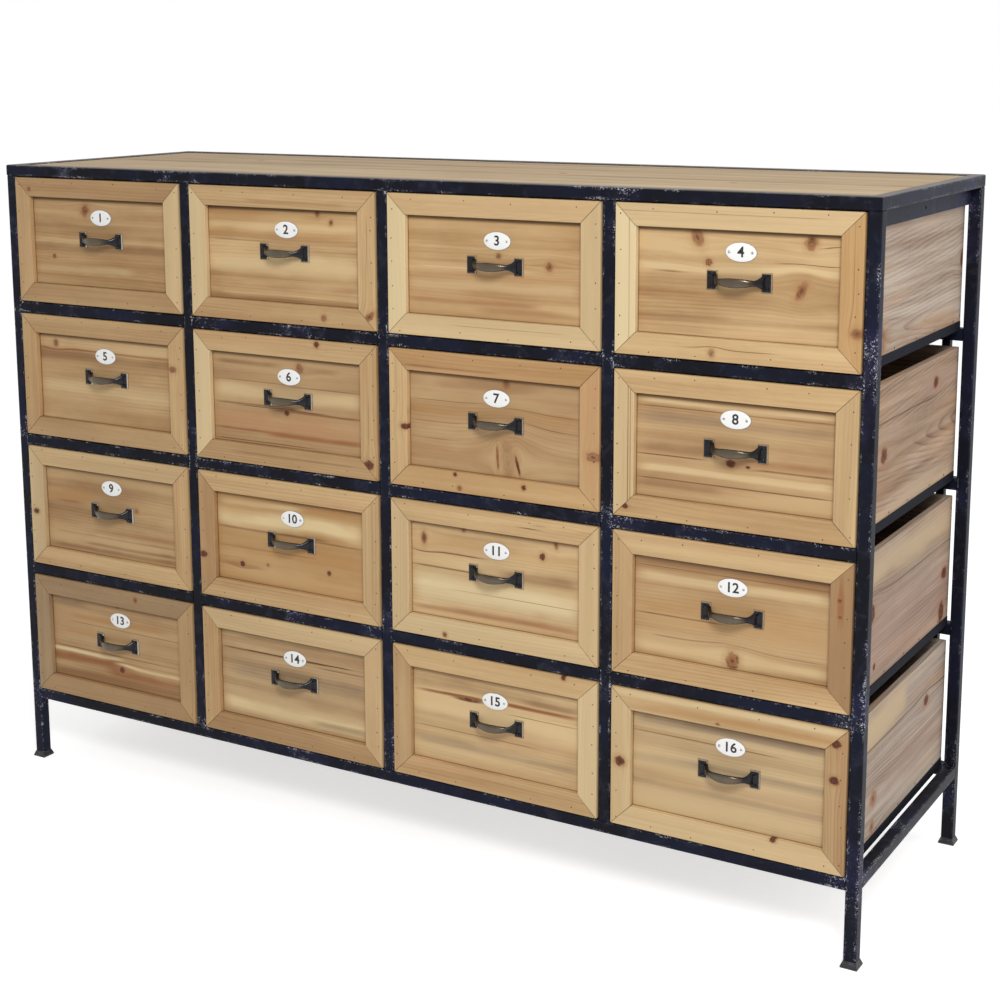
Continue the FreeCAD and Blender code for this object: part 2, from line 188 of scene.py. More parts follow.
class Shell:
    """Faces in millimetres, gathered until one mesh in metres is made of them."""

    def __init__(self):
        self.points = []
        self.faces = []
        self.grain = []
        self.worn = []

    def add(self, points, faces, worn=None, grain=None):
        """grain holds, for each face, the place on the wood of each of its corners."""
        first = len(self.points)
        self.points += [Vector(point) for point in points]
        self.faces += [[first + corner for corner in face] for face in faces]
        self.worn += list(worn) if worn else [0.0] * len(points)
        self.grain += grain if grain else [[(0, 0)] * len(face) for face in faces]

    def add_skin(self, rings, worn=None, places=None):
        """A closed skin over rings of as many points each, with a flat face on the first and the last."""
        count = len(rings[0])
        last = count * (len(rings) - 1)
        faces = [list(range(count)), list(range(last, last + count))]
        for low in range(0, last, count):
            for corner in range(count):
                following = (corner + 1) % count
                faces.append([low + corner, low + following, low + count + following, low + count + corner])
        grain = [[places[corner] for corner in face] for face in faces] if places else None
        self.add([point for ring in rings for point in ring], faces, worn, grain)

    def make(self, name, finish, bevel=0.0, crease=35):
        mesh = bpy.data.meshes.new(name)
        mesh.from_pydata([point / 1000 for point in self.points], [], self.faces)
        worn = mesh.attributes.new("worn", "FLOAT", "POINT")
        worn.data.foreach_set("value", self.worn)
        grain = mesh.uv_layers.new(name="grain")
        for polygon, corners in zip(mesh.polygons, self.grain):
            for loop, (along, across) in zip(polygon.loop_indices, corners):
                grain.data[loop].uv = (along / 1000, across / 1000)
        worker = bmesh.new()
        worker.from_mesh(mesh)
        bmesh.ops.recalc_face_normals(worker, faces=worker.faces)
        worker.to_mesh(mesh)
        worker.free()
        mesh.materials.append(finish)
        piece = in_scene(name, mesh)
        if bevel:
            rounding = piece.modifiers.new("rounding", "BEVEL")
            rounding.width = bevel / 1000
            rounding.segments = 2
            rounding.limit_method = "ANGLE"
            rounding.angle_limit = math.radians(crease)
        return smoothed(piece, crease)


def in_scene(name, data):
    thing = bpy.data.objects.new(name, data)
    bpy.context.scene.collection.objects.link(thing)
    return thing


def settled(piece):
    """The piece with its modifiers worked into a plain mesh."""
    bpy.context.view_layer.update()
    evaluated = piece.evaluated_get(bpy.context.evaluated_depsgraph_get())
    mesh = bpy.data.meshes.new_from_object(evaluated)
    piece.modifiers.clear()
    piece.data = mesh
    mesh.name = piece.name
    return piece


def smoothed(piece, crease=35):
    """Round forms are shaded round, and flat faces stay flat up to their edges."""
    settled(piece)
    piece.data.shade_smooth()
    piece.data.set_sharp_from_angle(angle=math.radians(crease))
    normals = piece.modifiers.new("normals", "WEIGHTED_NORMAL")
    normals.mode = "FACE_AREA"
    normals.weight = 100
    normals.keep_sharp = True
    return settled(piece)


def belongs(piece, body, finish_slot, *nodes):
    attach(piece, body)
    if nodes:
        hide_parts(*nodes)
    return piece


def tube_outline():
    """Points round the tube, with 1 on its rounded corners and 0 in the middle of its faces."""
    radius = 1.8
    outline = []
    for quarter in range(4):
        middle = math.radians(90 * quarter + 45)
        arc_x = math.copysign(HALF_TUBE - radius, math.cos(middle))
        arc_y = math.copysign(HALF_TUBE - radius, math.sin(middle))
        for step in range(5):
            angle = math.radians(90 * quarter + 22.5 * step)
            outline.append((arc_x + radius * math.cos(angle), arc_y + radius * math.sin(angle), 1.0))
        angle = math.radians(90 * quarter + 90)
        outline.append((HALF_TUBE * math.cos(angle), HALF_TUBE * math.sin(angle), 0.0))
    return outline


def add_tube(shell, start, end, inward=None):
    """A tube between two ends of its middle line. A mitred one is given the side that its mitres face."""
    start = Vector(start)
    end = Vector(end)
    along = (end - start).normalized()
    side = Vector(inward) if inward else Vector((0, 1, 0)) if abs(along.y) < 0.5 else Vector((1, 0, 0))
    up = along.cross(side)
    outline = tube_outline()
    rings = []
    for middle, direction in ((start, along), (end, -along)):
        cuts = [across + HALF_TUBE if inward else 0.0 for across, _, _ in outline]
        rings.append([
            middle + side * across + up * upward + direction * cut
            for (across, upward, _), cut in zip(outline, cuts)
        ])
    shell.add_skin(rings, [worn for _, _, worn in outline] * 2)


def frame_paint():
    """Near black blue paint, rubbed at the edges and speckled with white, more so round the welds."""
    finish = Finish("frame_paint")
    place = finish.place()
    x, y, z = finish.parts(place)
    edge = finish.attribute("worn")
    column_wide = COLUMN_PITCH / 1000
    row_high = ROW_PITCH / 1000
    column = (x / column_wide + 100.5).math("FRACT") - 0.5
    row = ((z - BOTTOM_LINE / 1000) / row_high + 10.5).math("FRACT") - 0.5
    from_weld = column.math("ABSOLUTE") * column_wide + row.math("ABSOLUTE") * row_high
    near_weld = 1 - from_weld.ramp(0.008, 0.05)
    patches = finish.noise(place, 11, 3, 0.55)
    drawn = finish.noise(place, 27, 4, 0.65, 0.4)
    speckle = finish.noise(place, 700, 3, 0.7)
    grit = finish.noise(place, 260, 5, 0.75, 0.8)
    rubbed = (edge - 0.86) * 2.2 + (drawn - 0.5) * 4.6 + (patches - 0.5) * 2.6 + near_weld * 0.35
    flakes = (grit * 0.55 + speckle * 0.45).ramp(0.515, 0.60)
    wear = rubbed.ramp(0.1, 1.0) * flakes
    sprayed = (drawn * 0.3 + grit * 0.35 + speckle * 0.35).ramp(0.555, 0.62)
    spots = (patches + near_weld * 0.08).ramp(0.56, 0.68) * sprayed
    handled = 1 - y.ramp(-0.15, 0.08) * 0.65
    chipped = (wear + spots * 0.85).math("MINIMUM", 1.0) * handled
    bloom = finish.noise(place, 7, 3, 0.6).ramp(0.40, 0.66)
    colour = finish.mixed(bloom, tint(12, 13, 22), tint(18, 22, 41))
    colour = finish.mixed(patches.ramp(0.54, 0.72) * 0.6, colour, tint(38, 37, 68))
    scuffs = finish.noise(place, 46, 5, 0.7, 0.6).ramp(0.50, 0.74)
    colour = finish.mixed(scuffs * 0.25, colour, tint(70, 73, 90))
    # The top faces of the ring are lightened with some dust and a painted sheen of the light from above.
    top = (ROW_LINES[4] + HALF_TUBE) / 1000
    dust_and_top_sheen = z.ramp(top - 0.0015, top - 0.0001) * (0.35 + drawn * 0.4)
    colour = finish.mixed(dust_and_top_sheen, colour, tint(142, 133, 126))
    chalk = finish.mixed(speckle.ramp(0.4, 0.62), tint(108, 110, 130), tint(214, 215, 222))
    colour = finish.mixed(chipped * 0.9, colour, chalk)
    relief = grit * 0.6 + speckle * 0.25 - chipped * 0.6
    return finish.surface(
        Base_Color=colour, Roughness=0.42 + grit * 0.16 + chipped * 0.25, Specular_IOR_Level=0.11,
        Normal=finish.bump(relief, 0.3, 0.0004),
    )


paint = frame_paint()
ring_level = ROW_LINES[4]
bottom_level = ROW_LINES[0]
under_ring = ring_level - HALF_TUBE
over_bottom = bottom_level + HALF_TUBE

legs = Shell()
for x in (COLUMN_LINES[0], COLUMN_LINES[4]):
    for y in (FRONT_LINE, BACK_LINE):
        add_tube(legs, (x, y, 8), (x, y, under_ring))
belongs(legs.make("leg_tubes", paint), "frame", "frame_paint", "legs")

for node, y in (("front_uprights", FRONT_LINE), ("back_uprights", BACK_LINE)):
    uprights = Shell()
    for x in COLUMN_LINES[1:4]:
        add_tube(uprights, (x, y, over_bottom), (x, y, under_ring))
    belongs(uprights.make(f"{node}_tubes", paint), "frame", "frame_paint", node)

for node, y in (("front_rails", FRONT_LINE), ("back_rails", BACK_LINE)):
    rails = Shell()
    left_end = COLUMN_LINES[0] + HALF_TUBE
    right_end = COLUMN_LINES[4] - HALF_TUBE
    add_tube(rails, (left_end, y, bottom_level), (right_end, y, bottom_level))
    for z in ROW_LINES[1:4]:
        for left, right in zip(COLUMN_LINES, COLUMN_LINES[1:]):
            add_tube(rails, (left + HALF_TUBE, y, z), (right - HALF_TUBE, y, z))
    belongs(rails.make(f"{node}_tubes", paint), "frame", "frame_paint", node)

side_rails = Shell()
for x in (COLUMN_LINES[0], COLUMN_LINES[4]):
    add_tube(side_rails, (x, FRONT_FACE + TUBE, bottom_level), (x, BACK_FACE - TUBE, bottom_level))
belongs(side_rails.make("side_rail_tubes", paint), "frame", "frame_paint", "side_rails")

ring = Shell()
outer = COLUMN_LINES[4] + HALF_TUBE
for y, inward in ((FRONT_LINE, 1), (BACK_LINE, -1)):
    add_tube(ring, (-outer, y, ring_level), (outer, y, ring_level), (0, inward, 0))
for x, inward in ((COLUMN_LINES[0], 1), (COLUMN_LINES[4], -1)):
    add_tube(ring, (x, FRONT_FACE, ring_level), (x, BACK_FACE, ring_level), (inward, 0, 0))
belongs(ring.make("ring_tubes", paint), "frame", "frame_paint", "top_ring")


# Four moulded plastic caps close the legs and spread into small square feet. They are black, with the grey
# scratches of a floor on their flares.
def foot_plastic():
    finish = Finish("foot_plastic")
    place = finish.place()
    scratches = finish.noise(finish.scaled(place, (60, 60, 420)), 3, 4, 0.7)
    scuffs = finish.noise(place, 180, 5, 0.7, 0.5)
    rubbed = scratches.ramp(0.52, 0.66) * scuffs.ramp(0.42, 0.6)
    colour = finish.mixed(rubbed * 0.75, tint(22, 22, 27), tint(128, 126, 142))
    return finish.surface(
        Base_Color=colour, Roughness=0.5 + rubbed * 0.25, Normal=finish.bump(scuffs, 0.25, 0.0003)
    )


CAP_LEVELS = (
    (0, 9.6), (0.5, 10), (1.5, 10), (4, 9.1), (6.2, 8.1), (7.4, 7.55), (8, 7.4), (8, 6.2), (20, 6.2),
)
SQUARE = ((1, 1), (-1, 1), (-1, -1), (1, -1))

caps = Shell()
for x in (COLUMN_LINES[0], COLUMN_LINES[4]):
    for y in (FRONT_LINE, BACK_LINE):
        caps.add_skin([
            [(x + half * right, y + half * back, level) for right, back in SQUARE]
            for level, half in CAP_LEVELS
        ])
cap_piece = caps.make("foot_cap_mouldings", foot_plastic(), bevel=0.3, crease=28)
belongs(cap_piece, "frame", "foot_plastic", "foot_caps")

# Two steel angles welded under the ring and three bars across carry the top. Each angle has one hole. Two
# short bars at the back of each opening stop its drawer. All of them have the paint of the frame.
for node in ("top_bearers", "drawer_stops"):
    for number in range(len(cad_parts[node].material_slots)):
        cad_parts[node].material_slots[number].material = paint

# Each opening has two angles of thin sheet steel from front to back, on which its drawer slides. Their flat
# legs are rubbed bare in streaks by the drawer's sides, and the rest is painted black.
RUNNER_INSET = 3.3
RUNNER_SECTION = (
    (0, -1.2), (12, -1.2), (12, 0), (1.6, 0), (1.2, 0.4), (1.2, 9.3), (1.0, 9.5), (0.2, 9.5), (0, 9.3),
)
OPENING_WIDE = 285
OPENINGS = [
    (COLUMN_LINES[column] + HALF_TUBE, ROW_LINES[row] + HALF_TUBE)
    for row in reversed(range(4)) for column in range(4)
]


def runner_steel():
    finish = Finish("runner_steel")
    place = finish.place()
    rubbing = finish.noise(finish.scaled(place, (700, 9, 160)), 1, 4, 0.6)
    dirt = finish.noise(place, 90, 5, 0.7)
    bare = finish.attribute("worn") * rubbing.ramp(0.34, 0.6)
    colour = finish.mixed(dirt, tint(14, 15, 20), tint(24, 26, 36))
    colour = finish.mixed(bare * 0.8, colour, tint(112, 112, 116))
    return finish.surface(
        Base_Color=colour, Roughness=0.70 - bare * 0.3, Metallic=bare * 0.6, Specular_IOR_Level=0.07,
        Normal=finish.bump(rubbing * 0.5 + dirt * 0.5, 0.3, 0.0002),
    )


runners = Shell()
for left, level in OPENINGS:
    for edge, way in ((left + RUNNER_INSET, 1), (left + OPENING_WIDE - RUNNER_INSET, -1)):
        ends = [
            [(edge + way * across, y, level + up) for across, up in RUNNER_SECTION]
            for y in (FRONT_FACE + TUBE, BACK_FACE - TUBE)
        ]
        rubbed = [1.0 if 0 <= up < 0.5 and across > 1.3 else 0.0 for across, up in RUNNER_SECTION]
        runners.add_skin(ends, rubbed * 2)
belongs(runners.make("runner_angles", runner_steel()), "frame", "galvanised_sheet", "drawer_runners")


# The top is glued up from sandy, straight boards that run from end to end, sunk in the ring. The drawers are
# pine: golden fronts, and paler, greyer boxes of rough sawn boards.
def wood(
    name, pale, brown, seed, spacing=6.0, lines=1.0, uneven=1.0, rough=0.55, sawn=0.0, knots=(), bands=(),
    washes=(), figure=None, framed=False,
):
    """Sawn softwood. Its UV map gives the place along and across the grain, in metres.

    A knot is (along, across, half its width, darkness, stretch across the grain, tilt) and pushes the growth
    lines aside. A band is (across, half its width, strength, colour, from, to). A wash is (board, strength,
    colour). A figure is (board, across, along, roundness, pace) of nested arches, with their tips at along. A
    framed board 0 has a painted shadow under its top moulding and a line of painted shade and dirt along its
    other mouldings.
    """
    finish = Finish(name)
    spot = finish.node("ShaderNodeUVMap", {"uv_map": "grain"})
    along, across, _ = finish.parts(spot)
    number = (across + 0.3).math("FLOOR")
    tone = finish.node("ShaderNodeTexWhiteNoise", {"noise_dimensions": "1D"}, {"W": number + seed * 7.31})

    def drawn(stretch, cross, shift=0.0, detail=2, roughness=0.5, warp=0.0):
        """Noise that is drawn out along the grain."""
        return finish.noise(finish.joined(along * stretch, cross, seed + shift), 1, detail, roughness, warp)

    def on_board(which):
        return number.math("COMPARE", float(which), 0.4)

    flow = across
    for at, over, size, _, stretch, _ in knots:
        wide = (1 / (3.6 * size), 1 / (1.5 * size * stretch), 0)
        distance = finish.length(finish.scaled(spot, wide, (-at * wide[0], -over * wide[1], 0)))
        flow = flow - (across - over) * 0.75 * 0.37 ** (distance * distance)
    drift = drawn(1.4, across * 9)
    waver = drawn(7, across * 45, 4.0)
    rings = flow * (1000 / spacing) + drift * 7.0 + waver * 0.9 + seed + tone * 5.0
    if figure:
        which, over, at, roundness, pace = figure
        offset = flow - over
        arches = (offset * offset + roundness ** 2) ** 0.5 * (1000 / spacing)
        arches = arches + (along - at) * pace + drift * 5.0 + waver * 1.2
        rings = rings + (arches - rings) * on_board(which)
    step = rings.math("FRACT")
    late = step ** 3.0 * (1 - step.ramp(0.86, 1.0))
    faint = drawn(2.2, across * 30, 6.0).ramp(0.38, 0.62)
    fibres = drawn(16, flow * 1000, 0.0, 3, 0.6)
    streaks = drawn(2.6, flow * 120, 9.0, 3, 0.6)
    broad = drawn(1.6, flow * 38, 15.0)
    clouds = drawn(7, across * 20, 2.0, 3, 0.55)
    pith = drawn(60, flow * 420, 1.0)
    depth = uneven * (1 - 0.5 * number.ramp(0.2, 0.8)) if framed else uneven
    shade = late * faint * (0.62 * lines) + (streaks - 0.5) * (1.1 * lines) + (fibres - 0.5) * (0.5 * lines)
    shade = shade + ((broad - 0.5) * 2.1 + (clouds - 0.5) * 1.1) * depth
    shade = shade + (tone - 0.5) * 0.30 + (pith - 0.5) * 0.2 + 0.38
    if sawn:
        cuts = drawn(520, across * 14, 21.0, warp=0.6)
        shade = shade - (cuts - 0.5) * clouds.ramp(0.42, 0.62) * sawn
    shade = finish.node("ShaderNodeClamp", sockets={0: shade})
    colour = finish.mixed(shade, pale, brown)
    hue = drawn(4, across * 26, 12.0)
    colour = finish.mixed(hue.ramp(0.5, 0.75) * 0.35, colour, tint(204, 158, 116))
    for which, strength, stain in washes:
        colour = finish.mixed(on_board(which) * (strength * (0.7 + clouds * 0.6)), colour, stain)
    for over, half, strength, stain, start, end in bands:
        from_middle = flow - over + (clouds - 0.5) * (half * 1.6) + (drift - 0.5) * 0.006
        near = 1 - from_middle.math("ABSOLUTE").ramp(half * 0.15, half * 1.2)
        within = along.ramp(start - 0.012, start + 0.02) * (1 - along.ramp(end - 0.02, end + 0.012))
        uneven_stain = clouds.ramp(0.32, 0.62) * 0.5 + streaks * 1.2 + 0.2
        colour = finish.mixed(near * within * uneven_stain * strength, colour, stain)
    dents = fibres * 0.4 + late * faint * 0.5
    for at, over, size, darkness, stretch, tilt in knots:
        turned = finish.node(
            "ShaderNodeMapping", {"vector_type": "TEXTURE"},
            {"Vector": spot, "Location": (at, over, 0), "Rotation": (0, 0, math.radians(tilt)),
             "Scale": (size, size * stretch, 1)},
        )
        distance = finish.length(turned)
        crumbs = finish.noise(finish.scaled(turned, (1, 1, 1), (seed, at * 90, 0)), 1.7, 3, 0.6)
        ragged = distance + (crumbs - 0.5) * 0.9
        halo = 1 - ragged.ramp(0.6, 2.0)
        colour = finish.mixed(halo * (0.42 * darkness), colour, tint(168, 120, 78))
        core = 1 - ragged.ramp(0.55, 1.1)
        rims = finish.noise(finish.joined(distance * 3.6, crumbs * 2.5, at * 70), 1, 3, 0.65)
        dark, light = ((72, 38, 27), (112, 64, 42)) if darkness > 1 else ((108, 66, 42), (150, 100, 64))
        heart = finish.mixed(rims.ramp(0.36, 0.62), tint(*dark), tint(*light))
        colour = finish.mixed(core * (0.92 * darkness), colour, heart)
        pip = 1 - (ragged + (rims - 0.5) * 0.9).ramp(0.05, 0.4)
        colour = finish.mixed(pip * (0.7 * darkness), colour, tint(74, 44, 30))
        dents = dents - core * 0.4
    # The worn attribute marks soil in the mitres and painted crease shade along the feet of the mouldings.
    soil_and_crease_shade = finish.attribute("worn").ramp(0.1, 1.0) * (0.35 + clouds.ramp(0.42, 0.56) * 0.5)
    colour = finish.mixed(soil_and_crease_shade, colour, tint(84, 58, 34))
    # Painted shade: a dark painted shadow under the top moulding, and a thinner line of painted shade and
    # dirt beside the other mouldings.
    if framed:
        edge = MOULDING_WIDE / 1000
        right_edge = (FRONT_WIDE - MOULDING_WIDE) / 1000
        lower_edge = (FRONT_HIGH - MOULDING_WIDE) / 1000
        painted_shadow_below = 1 - (across - edge).ramp(0.0012, 0.0062)
        inside = (along - edge).math("MINIMUM", right_edge - along).math("MINIMUM", lower_edge - across)
        painted_shade_beside = 1 - inside.ramp(0.0002, 0.0017)
        dirt = (painted_shadow_below * 0.85).math("MAXIMUM", painted_shade_beside * (0.3 + clouds * 0.7))
        dirt = dirt * (1 - number.ramp(0.2, 0.8))
        colour = finish.mixed(dirt, colour, tint(72, 48, 28))
    return finish.surface(
        Base_Color=colour, Roughness=rough + (fibres - 0.5) * 0.2, Specular_IOR_Level=0.25,
        Normal=finish.bump(dents, 0.25, 0.0003),
    )


def add_board(shell, low, high, along, number, origin=None):
    """A sawn board with its grain along an axis. Each board has its own stretch of wood."""
    low = Vector(low)
    high = Vector(high)
    origin = Vector(origin) if origin else low
    sizes = high - low
    others = [axis for axis in range(3) if axis != along]
    width = max(others, key=lambda axis: sizes[axis])
    thickness = min(others, key=lambda axis: sizes[axis])
    corners = [
        Vector((high.x if code & 1 else low.x, high.y if code & 2 else low.y, high.z if code & 4 else low.z))
        for code in range(8)
    ]
    faces = ((0, 2, 6, 4), (1, 5, 7, 3), (0, 4, 5, 1), (2, 3, 7, 6), (0, 1, 3, 2), (4, 6, 7, 5))
    grain = []
    for index, face in enumerate(faces):
        facing = index // 2
        places = []
        for corner in face:
            spot = corners[corner] - origin
            if facing == thickness:
                places.append((spot[along], abs(spot[width]) + 1000 * number))
            elif facing == width:
                places.append((spot[along], abs(spot[thickness]) + 400 + 1000 * number))
            else:
                places.append((spot[thickness] * 0.6, abs(spot[width]) + 1000 * number))
        grain.append(places)
    shell.add(corners, faces, grain=grain)


TOP_BOARDS = 5
TOP_STAIN = tint(122, 95, 68)
top_low, top_high = (corner * 1000 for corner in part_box("top_panel"))
top = Shell()
board_width = (top_high.y - top_low.y) / TOP_BOARDS
for number in range(TOP_BOARDS):
    near = top_low.y + number * board_width
    far = near + board_width
    add_board(top, (top_low.x, near + 0.05, top_low.z), (top_high.x, far - 0.05, top_high.z), 0, number)
top_wood = wood(
    "top_wood", tint(198, 175, 138), tint(152, 123, 86), 3.0, spacing=7.5, lines=0.42, uneven=0.8, rough=0.62,
    knots=((0.22, 3.03, 0.007, 0.8, 1, 0), (0.73, 2.04, 0.006, 0.7, 1, 0), (0.98, 1.05, 0.006, 0.6, 1, 0)),
    bands=((4.048, 0.007, 0.5, TOP_STAIN, 0.50, 0.60), (2.03, 0.008, 0.4, TOP_STAIN, 0.05, 0.2)),
)
belongs(top.make("top_boards", top_wood, bevel=0.5), "frame", "top_wood", "top_panel")

# A drawer's box is two side boards nailed to the back of its front, with a back and a bottom between them.
# The boards are sawn pine, left rough, and the nails are small and flat.
BOX_FRONT = FRONT_FACE + 14.5
BOX_END = BACK_FACE - 10.3
BOX_HEIGHT = 162
BOX_LEFT = 4.8
BOX_SIDE = 8
BOX_BACK = 8
BOTTOM_LEVEL = 5
BOTTOM_THICK = 4

box_shell = Shell()
for left, number in ((BOX_LEFT, 0), (OPENING_WIDE - BOX_LEFT - BOX_SIDE, 1)):
    add_board(box_shell, (left, BOX_FRONT, 0), (left + BOX_SIDE, BOX_END, BOX_HEIGHT), 1, number)
inner_left = BOX_LEFT + BOX_SIDE
inner_right = OPENING_WIDE - inner_left
add_board(box_shell, (inner_left, BOX_END - BOX_BACK, 0), (inner_right, BOX_END, BOX_HEIGHT), 0, 2)
panel_high = (inner_right, BOX_END - BOX_BACK, BOTTOM_LEVEL + BOTTOM_THICK)
add_board(box_shell, (inner_left, BOX_FRONT, BOTTOM_LEVEL), panel_high, 0, 3)
MAUVE = tint(160, 128, 114)
UMBER = tint(150, 114, 80)
HUSK = tint(196, 172, 138)
SEAM = tint(84, 64, 50)

# The tones of a row's boards, the arches in one of them, and their knots and bands. Board 31 is the right
# side of the last box, measured from its lower front corner, and boards 0 to 3 are the sides, back and bottom
# of the first box.
BOX_ROWS = (
    (
        tint(190, 174, 158), tint(132, 108, 91), (31, 31.028, 0.075, 0.005, -14),
        (
            (0.056, 31.026, 0.020, 0.6, 0.9, 0), (0.350, 31.085, 0.007, 1.1, 1.6, 0),
            (0.10, 0.11, 0.008, 0.9, 1.2, -15),
        ),
        ((31.018, 0.020, 0.3, UMBER, 0.0, 0.34), (31.15, 0.006, 0.3, MAUVE, 0.0, 0.37)),
    ),
    (
        tint(178, 153, 130), tint(110, 82, 62), (31, 31.078, 0.125, 0.012, -18),
        (
            (0.081, 31.081, 0.013, 1.1, 0.8, 0), (0.265, 31.133, 0.011, 1.1, 0.75, 0),
            (0.08, 0.06, 0.006, 0.8, 1.2, 0),
        ),
        (
            (31.133, 0.012, 0.45, MAUVE, 0.21, 0.34), (31.06, 0.034, 0.35, UMBER, 0.0, 0.17),
            (31.012, 0.010, 0.5, HUSK, 0.0, 0.34), (31.118, 0.0011, 0.7, SEAM, 0.0, 0.27),
        ),
    ),
    (
        tint(178, 158, 140), tint(122, 96, 79), (11, 11.08, 0.2, 0.01, -20),
        (
            (0.060, 31.092, 0.011, 1.1, 1.1, 0), (0.073, 31.028, 0.005, 1.1, 1, 0),
            (0.331, 31.070, 0.013, 1.1, 0.7, 0), (0.325, 31.022, 0.013, 1.1, 1.2, 0),
            (0.2, 2.06, 0.009, 0.9, 1.3, 20),
        ),
        (
            (31.138, 0.024, 0.55, HUSK, 0.0, 0.36), (31.109, 0.0012, 0.6, SEAM, 0.0, 0.36),
            (31.055, 0.050, 0.3, MAUVE, 0.0, 0.36),
        ),
    ),
    (
        tint(192, 177, 162), tint(136, 115, 100), (21, 21.08, 0.12, 0.01, 20),
        (
            (0.087, 31.053, 0.013, 0.8, 0.8, 0), (0.085, 31.020, 0.008, 0.7, 1.1, 0),
            (0.278, 31.108, 0.010, 1.1, 0.8, 0), (0.10, 3.06, 0.008, 0.9, 1.2, 0),
        ),
        (
            (31.140, 0.024, 0.7, HUSK, 0.0, 0.20), (31.116, 0.0010, 1.1, SEAM, 0.0, 0.37),
            (31.06, 0.035, 0.3, MAUVE, 0.12, 0.36),
        ),
    ),
)
box_woods = [
    wood(
        f"box_wood_{row}", pale, brown, 20.0 + row, spacing=5.2, lines=1.35, rough=0.7, uneven=0.6, sawn=0.35,
        figure=figure, knots=knots, bands=bands,
    )
    for row, (pale, brown, figure, knots, bands) in enumerate(BOX_ROWS)
]
box_master = box_shell.make("drawer_box_master", box_woods[0], bevel=0.6)
DRAWERS = "abcdefghijklmnop"


def fitted(master, letter, part, spot, material, finish_slot, *nodes, boards_on=0):
    """A drawer's own copy of a piece, set at a spot in its opening, and cut from boards further on."""
    left, level = OPENINGS[DRAWERS.index(letter)]
    x, y, z = spot
    mesh = master.data.copy()
    mesh.transform(Matrix.Translation(Vector((left + x, y, level + z)) / 1000))
    if boards_on:
        for corner in mesh.uv_layers["grain"].data:
            corner.uv[1] += boards_on
    mesh.materials[0] = material
    return belongs(in_scene(f"drawer_{letter}_{part}", mesh), f"drawer_{letter}", finish_slot, *nodes)


for number, letter in enumerate(DRAWERS):
    row, column = divmod(number, 4)
    fitted(
        box_master, letter, "boards", (0, 0, 0), box_woods[row], "box_wood", f"drawer_{letter}_box",
        boards_on=10 * column,
    )
bpy.data.objects.remove(box_master)

# A drawer's front is a golden pine board with four mouldings glued and pinned to its face. They meet in
# mitres at the corners, and dirt has settled in the mitres. A painted shadow lies under the top moulding,
# and painted shade with some dirt runs along the feet and inner edges of the others.
FRONT_WIDE = 282
FRONT_HIGH = 167
FRONT_LEFT = 1.5
FRONT_LOW = 1.25
FRONT_RIGHT = FRONT_LEFT + FRONT_WIDE
FRONT_TOP = FRONT_LOW + FRONT_HIGH
BOARD_FACE = FRONT_FACE + 5.5
BOARD_THICK = 9
MOULDING_WIDE = 25
MOULDING_HIGH = 7.5
MOULDING = (
    (0, 0), (0, 6.3), (0.35, 7.15), (1.2, 7.5), (12, 7.5), (24, 7.5), (24.5, 7.37), (24.87, 7.0), (25, 6.5),
    (25, 1.4), (25, 0),
)

front_shell = Shell()
front_high = (FRONT_RIGHT, BOARD_FACE + BOARD_THICK, FRONT_TOP)
top_corner = (FRONT_LEFT, BOARD_FACE, FRONT_TOP)
add_board(front_shell, (FRONT_LEFT, BOARD_FACE, FRONT_LOW), front_high, 0, 0, origin=top_corner)
board_master = front_shell.make("drawer_front_board_master", paint, bevel=0.5)

moulding_shell = Shell()
for number, length, (corner_x, corner_z), (run_x, run_z), (in_x, in_z) in (
    (1, FRONT_WIDE, (FRONT_LEFT, FRONT_TOP), (1, 0), (0, -1)),
    (2, FRONT_HIGH, (FRONT_RIGHT, FRONT_TOP), (0, -1), (-1, 0)),
    (3, FRONT_WIDE, (FRONT_LEFT, FRONT_LOW), (1, 0), (0, 1)),
    (4, FRONT_HIGH, (FRONT_LEFT, FRONT_TOP), (0, -1), (1, 0)),
):
    rings = []
    places = []
    worn = []
    # Each moulding's feet get 1 for painted crease shade where they stand on the board, and its mitred ends
    # get 0.7 for the soil in the mitres.
    for end, inset, mitre in ((0, 0.22, 0.7), (0, 1.3, 0.0), (1, 1.3, 0.0), (1, 0.22, 0.7)):
        rings.append([])
        for across, height in MOULDING:
            along = across + inset if end == 0 else length - across - inset
            x = corner_x + run_x * along + in_x * across
            z = corner_z + run_z * along + in_z * across
            rings[-1].append((x, BOARD_FACE - height, z))
            places.append((along, across + 1000 * number))
            worn.append(1.0 if height == 0 else mitre)
    moulding_shell.add_skin(rings, worn, places)
moulding_master = moulding_shell.make("drawer_mouldings_master", paint, crease=40)

GOLD = (tint(216, 184, 136), tint(160, 120, 77))
AMBER = tint(178, 132, 80)
BLUSH = tint(192, 143, 100)
RUST = tint(148, 95, 58)
BROWN = tint(132, 94, 60)
STRAW = tint(226, 200, 152)
SLATE = tint(116, 98, 84)
CREAM = tint(228, 208, 164)
CRACK = tint(70, 46, 30)


def on_front(x, z):
    """A place on the front, from its top left corner, as a place on the board or moulding found there."""
    edges = (z, FRONT_WIDE - x, FRONT_HIGH - z, x)
    nearest = min(edges)
    if nearest > MOULDING_WIDE:
        return x / 1000, z / 1000
    number = edges.index(nearest) + 1
    return (x if number in (1, 3) else z) / 1000, nearest / 1000 + number


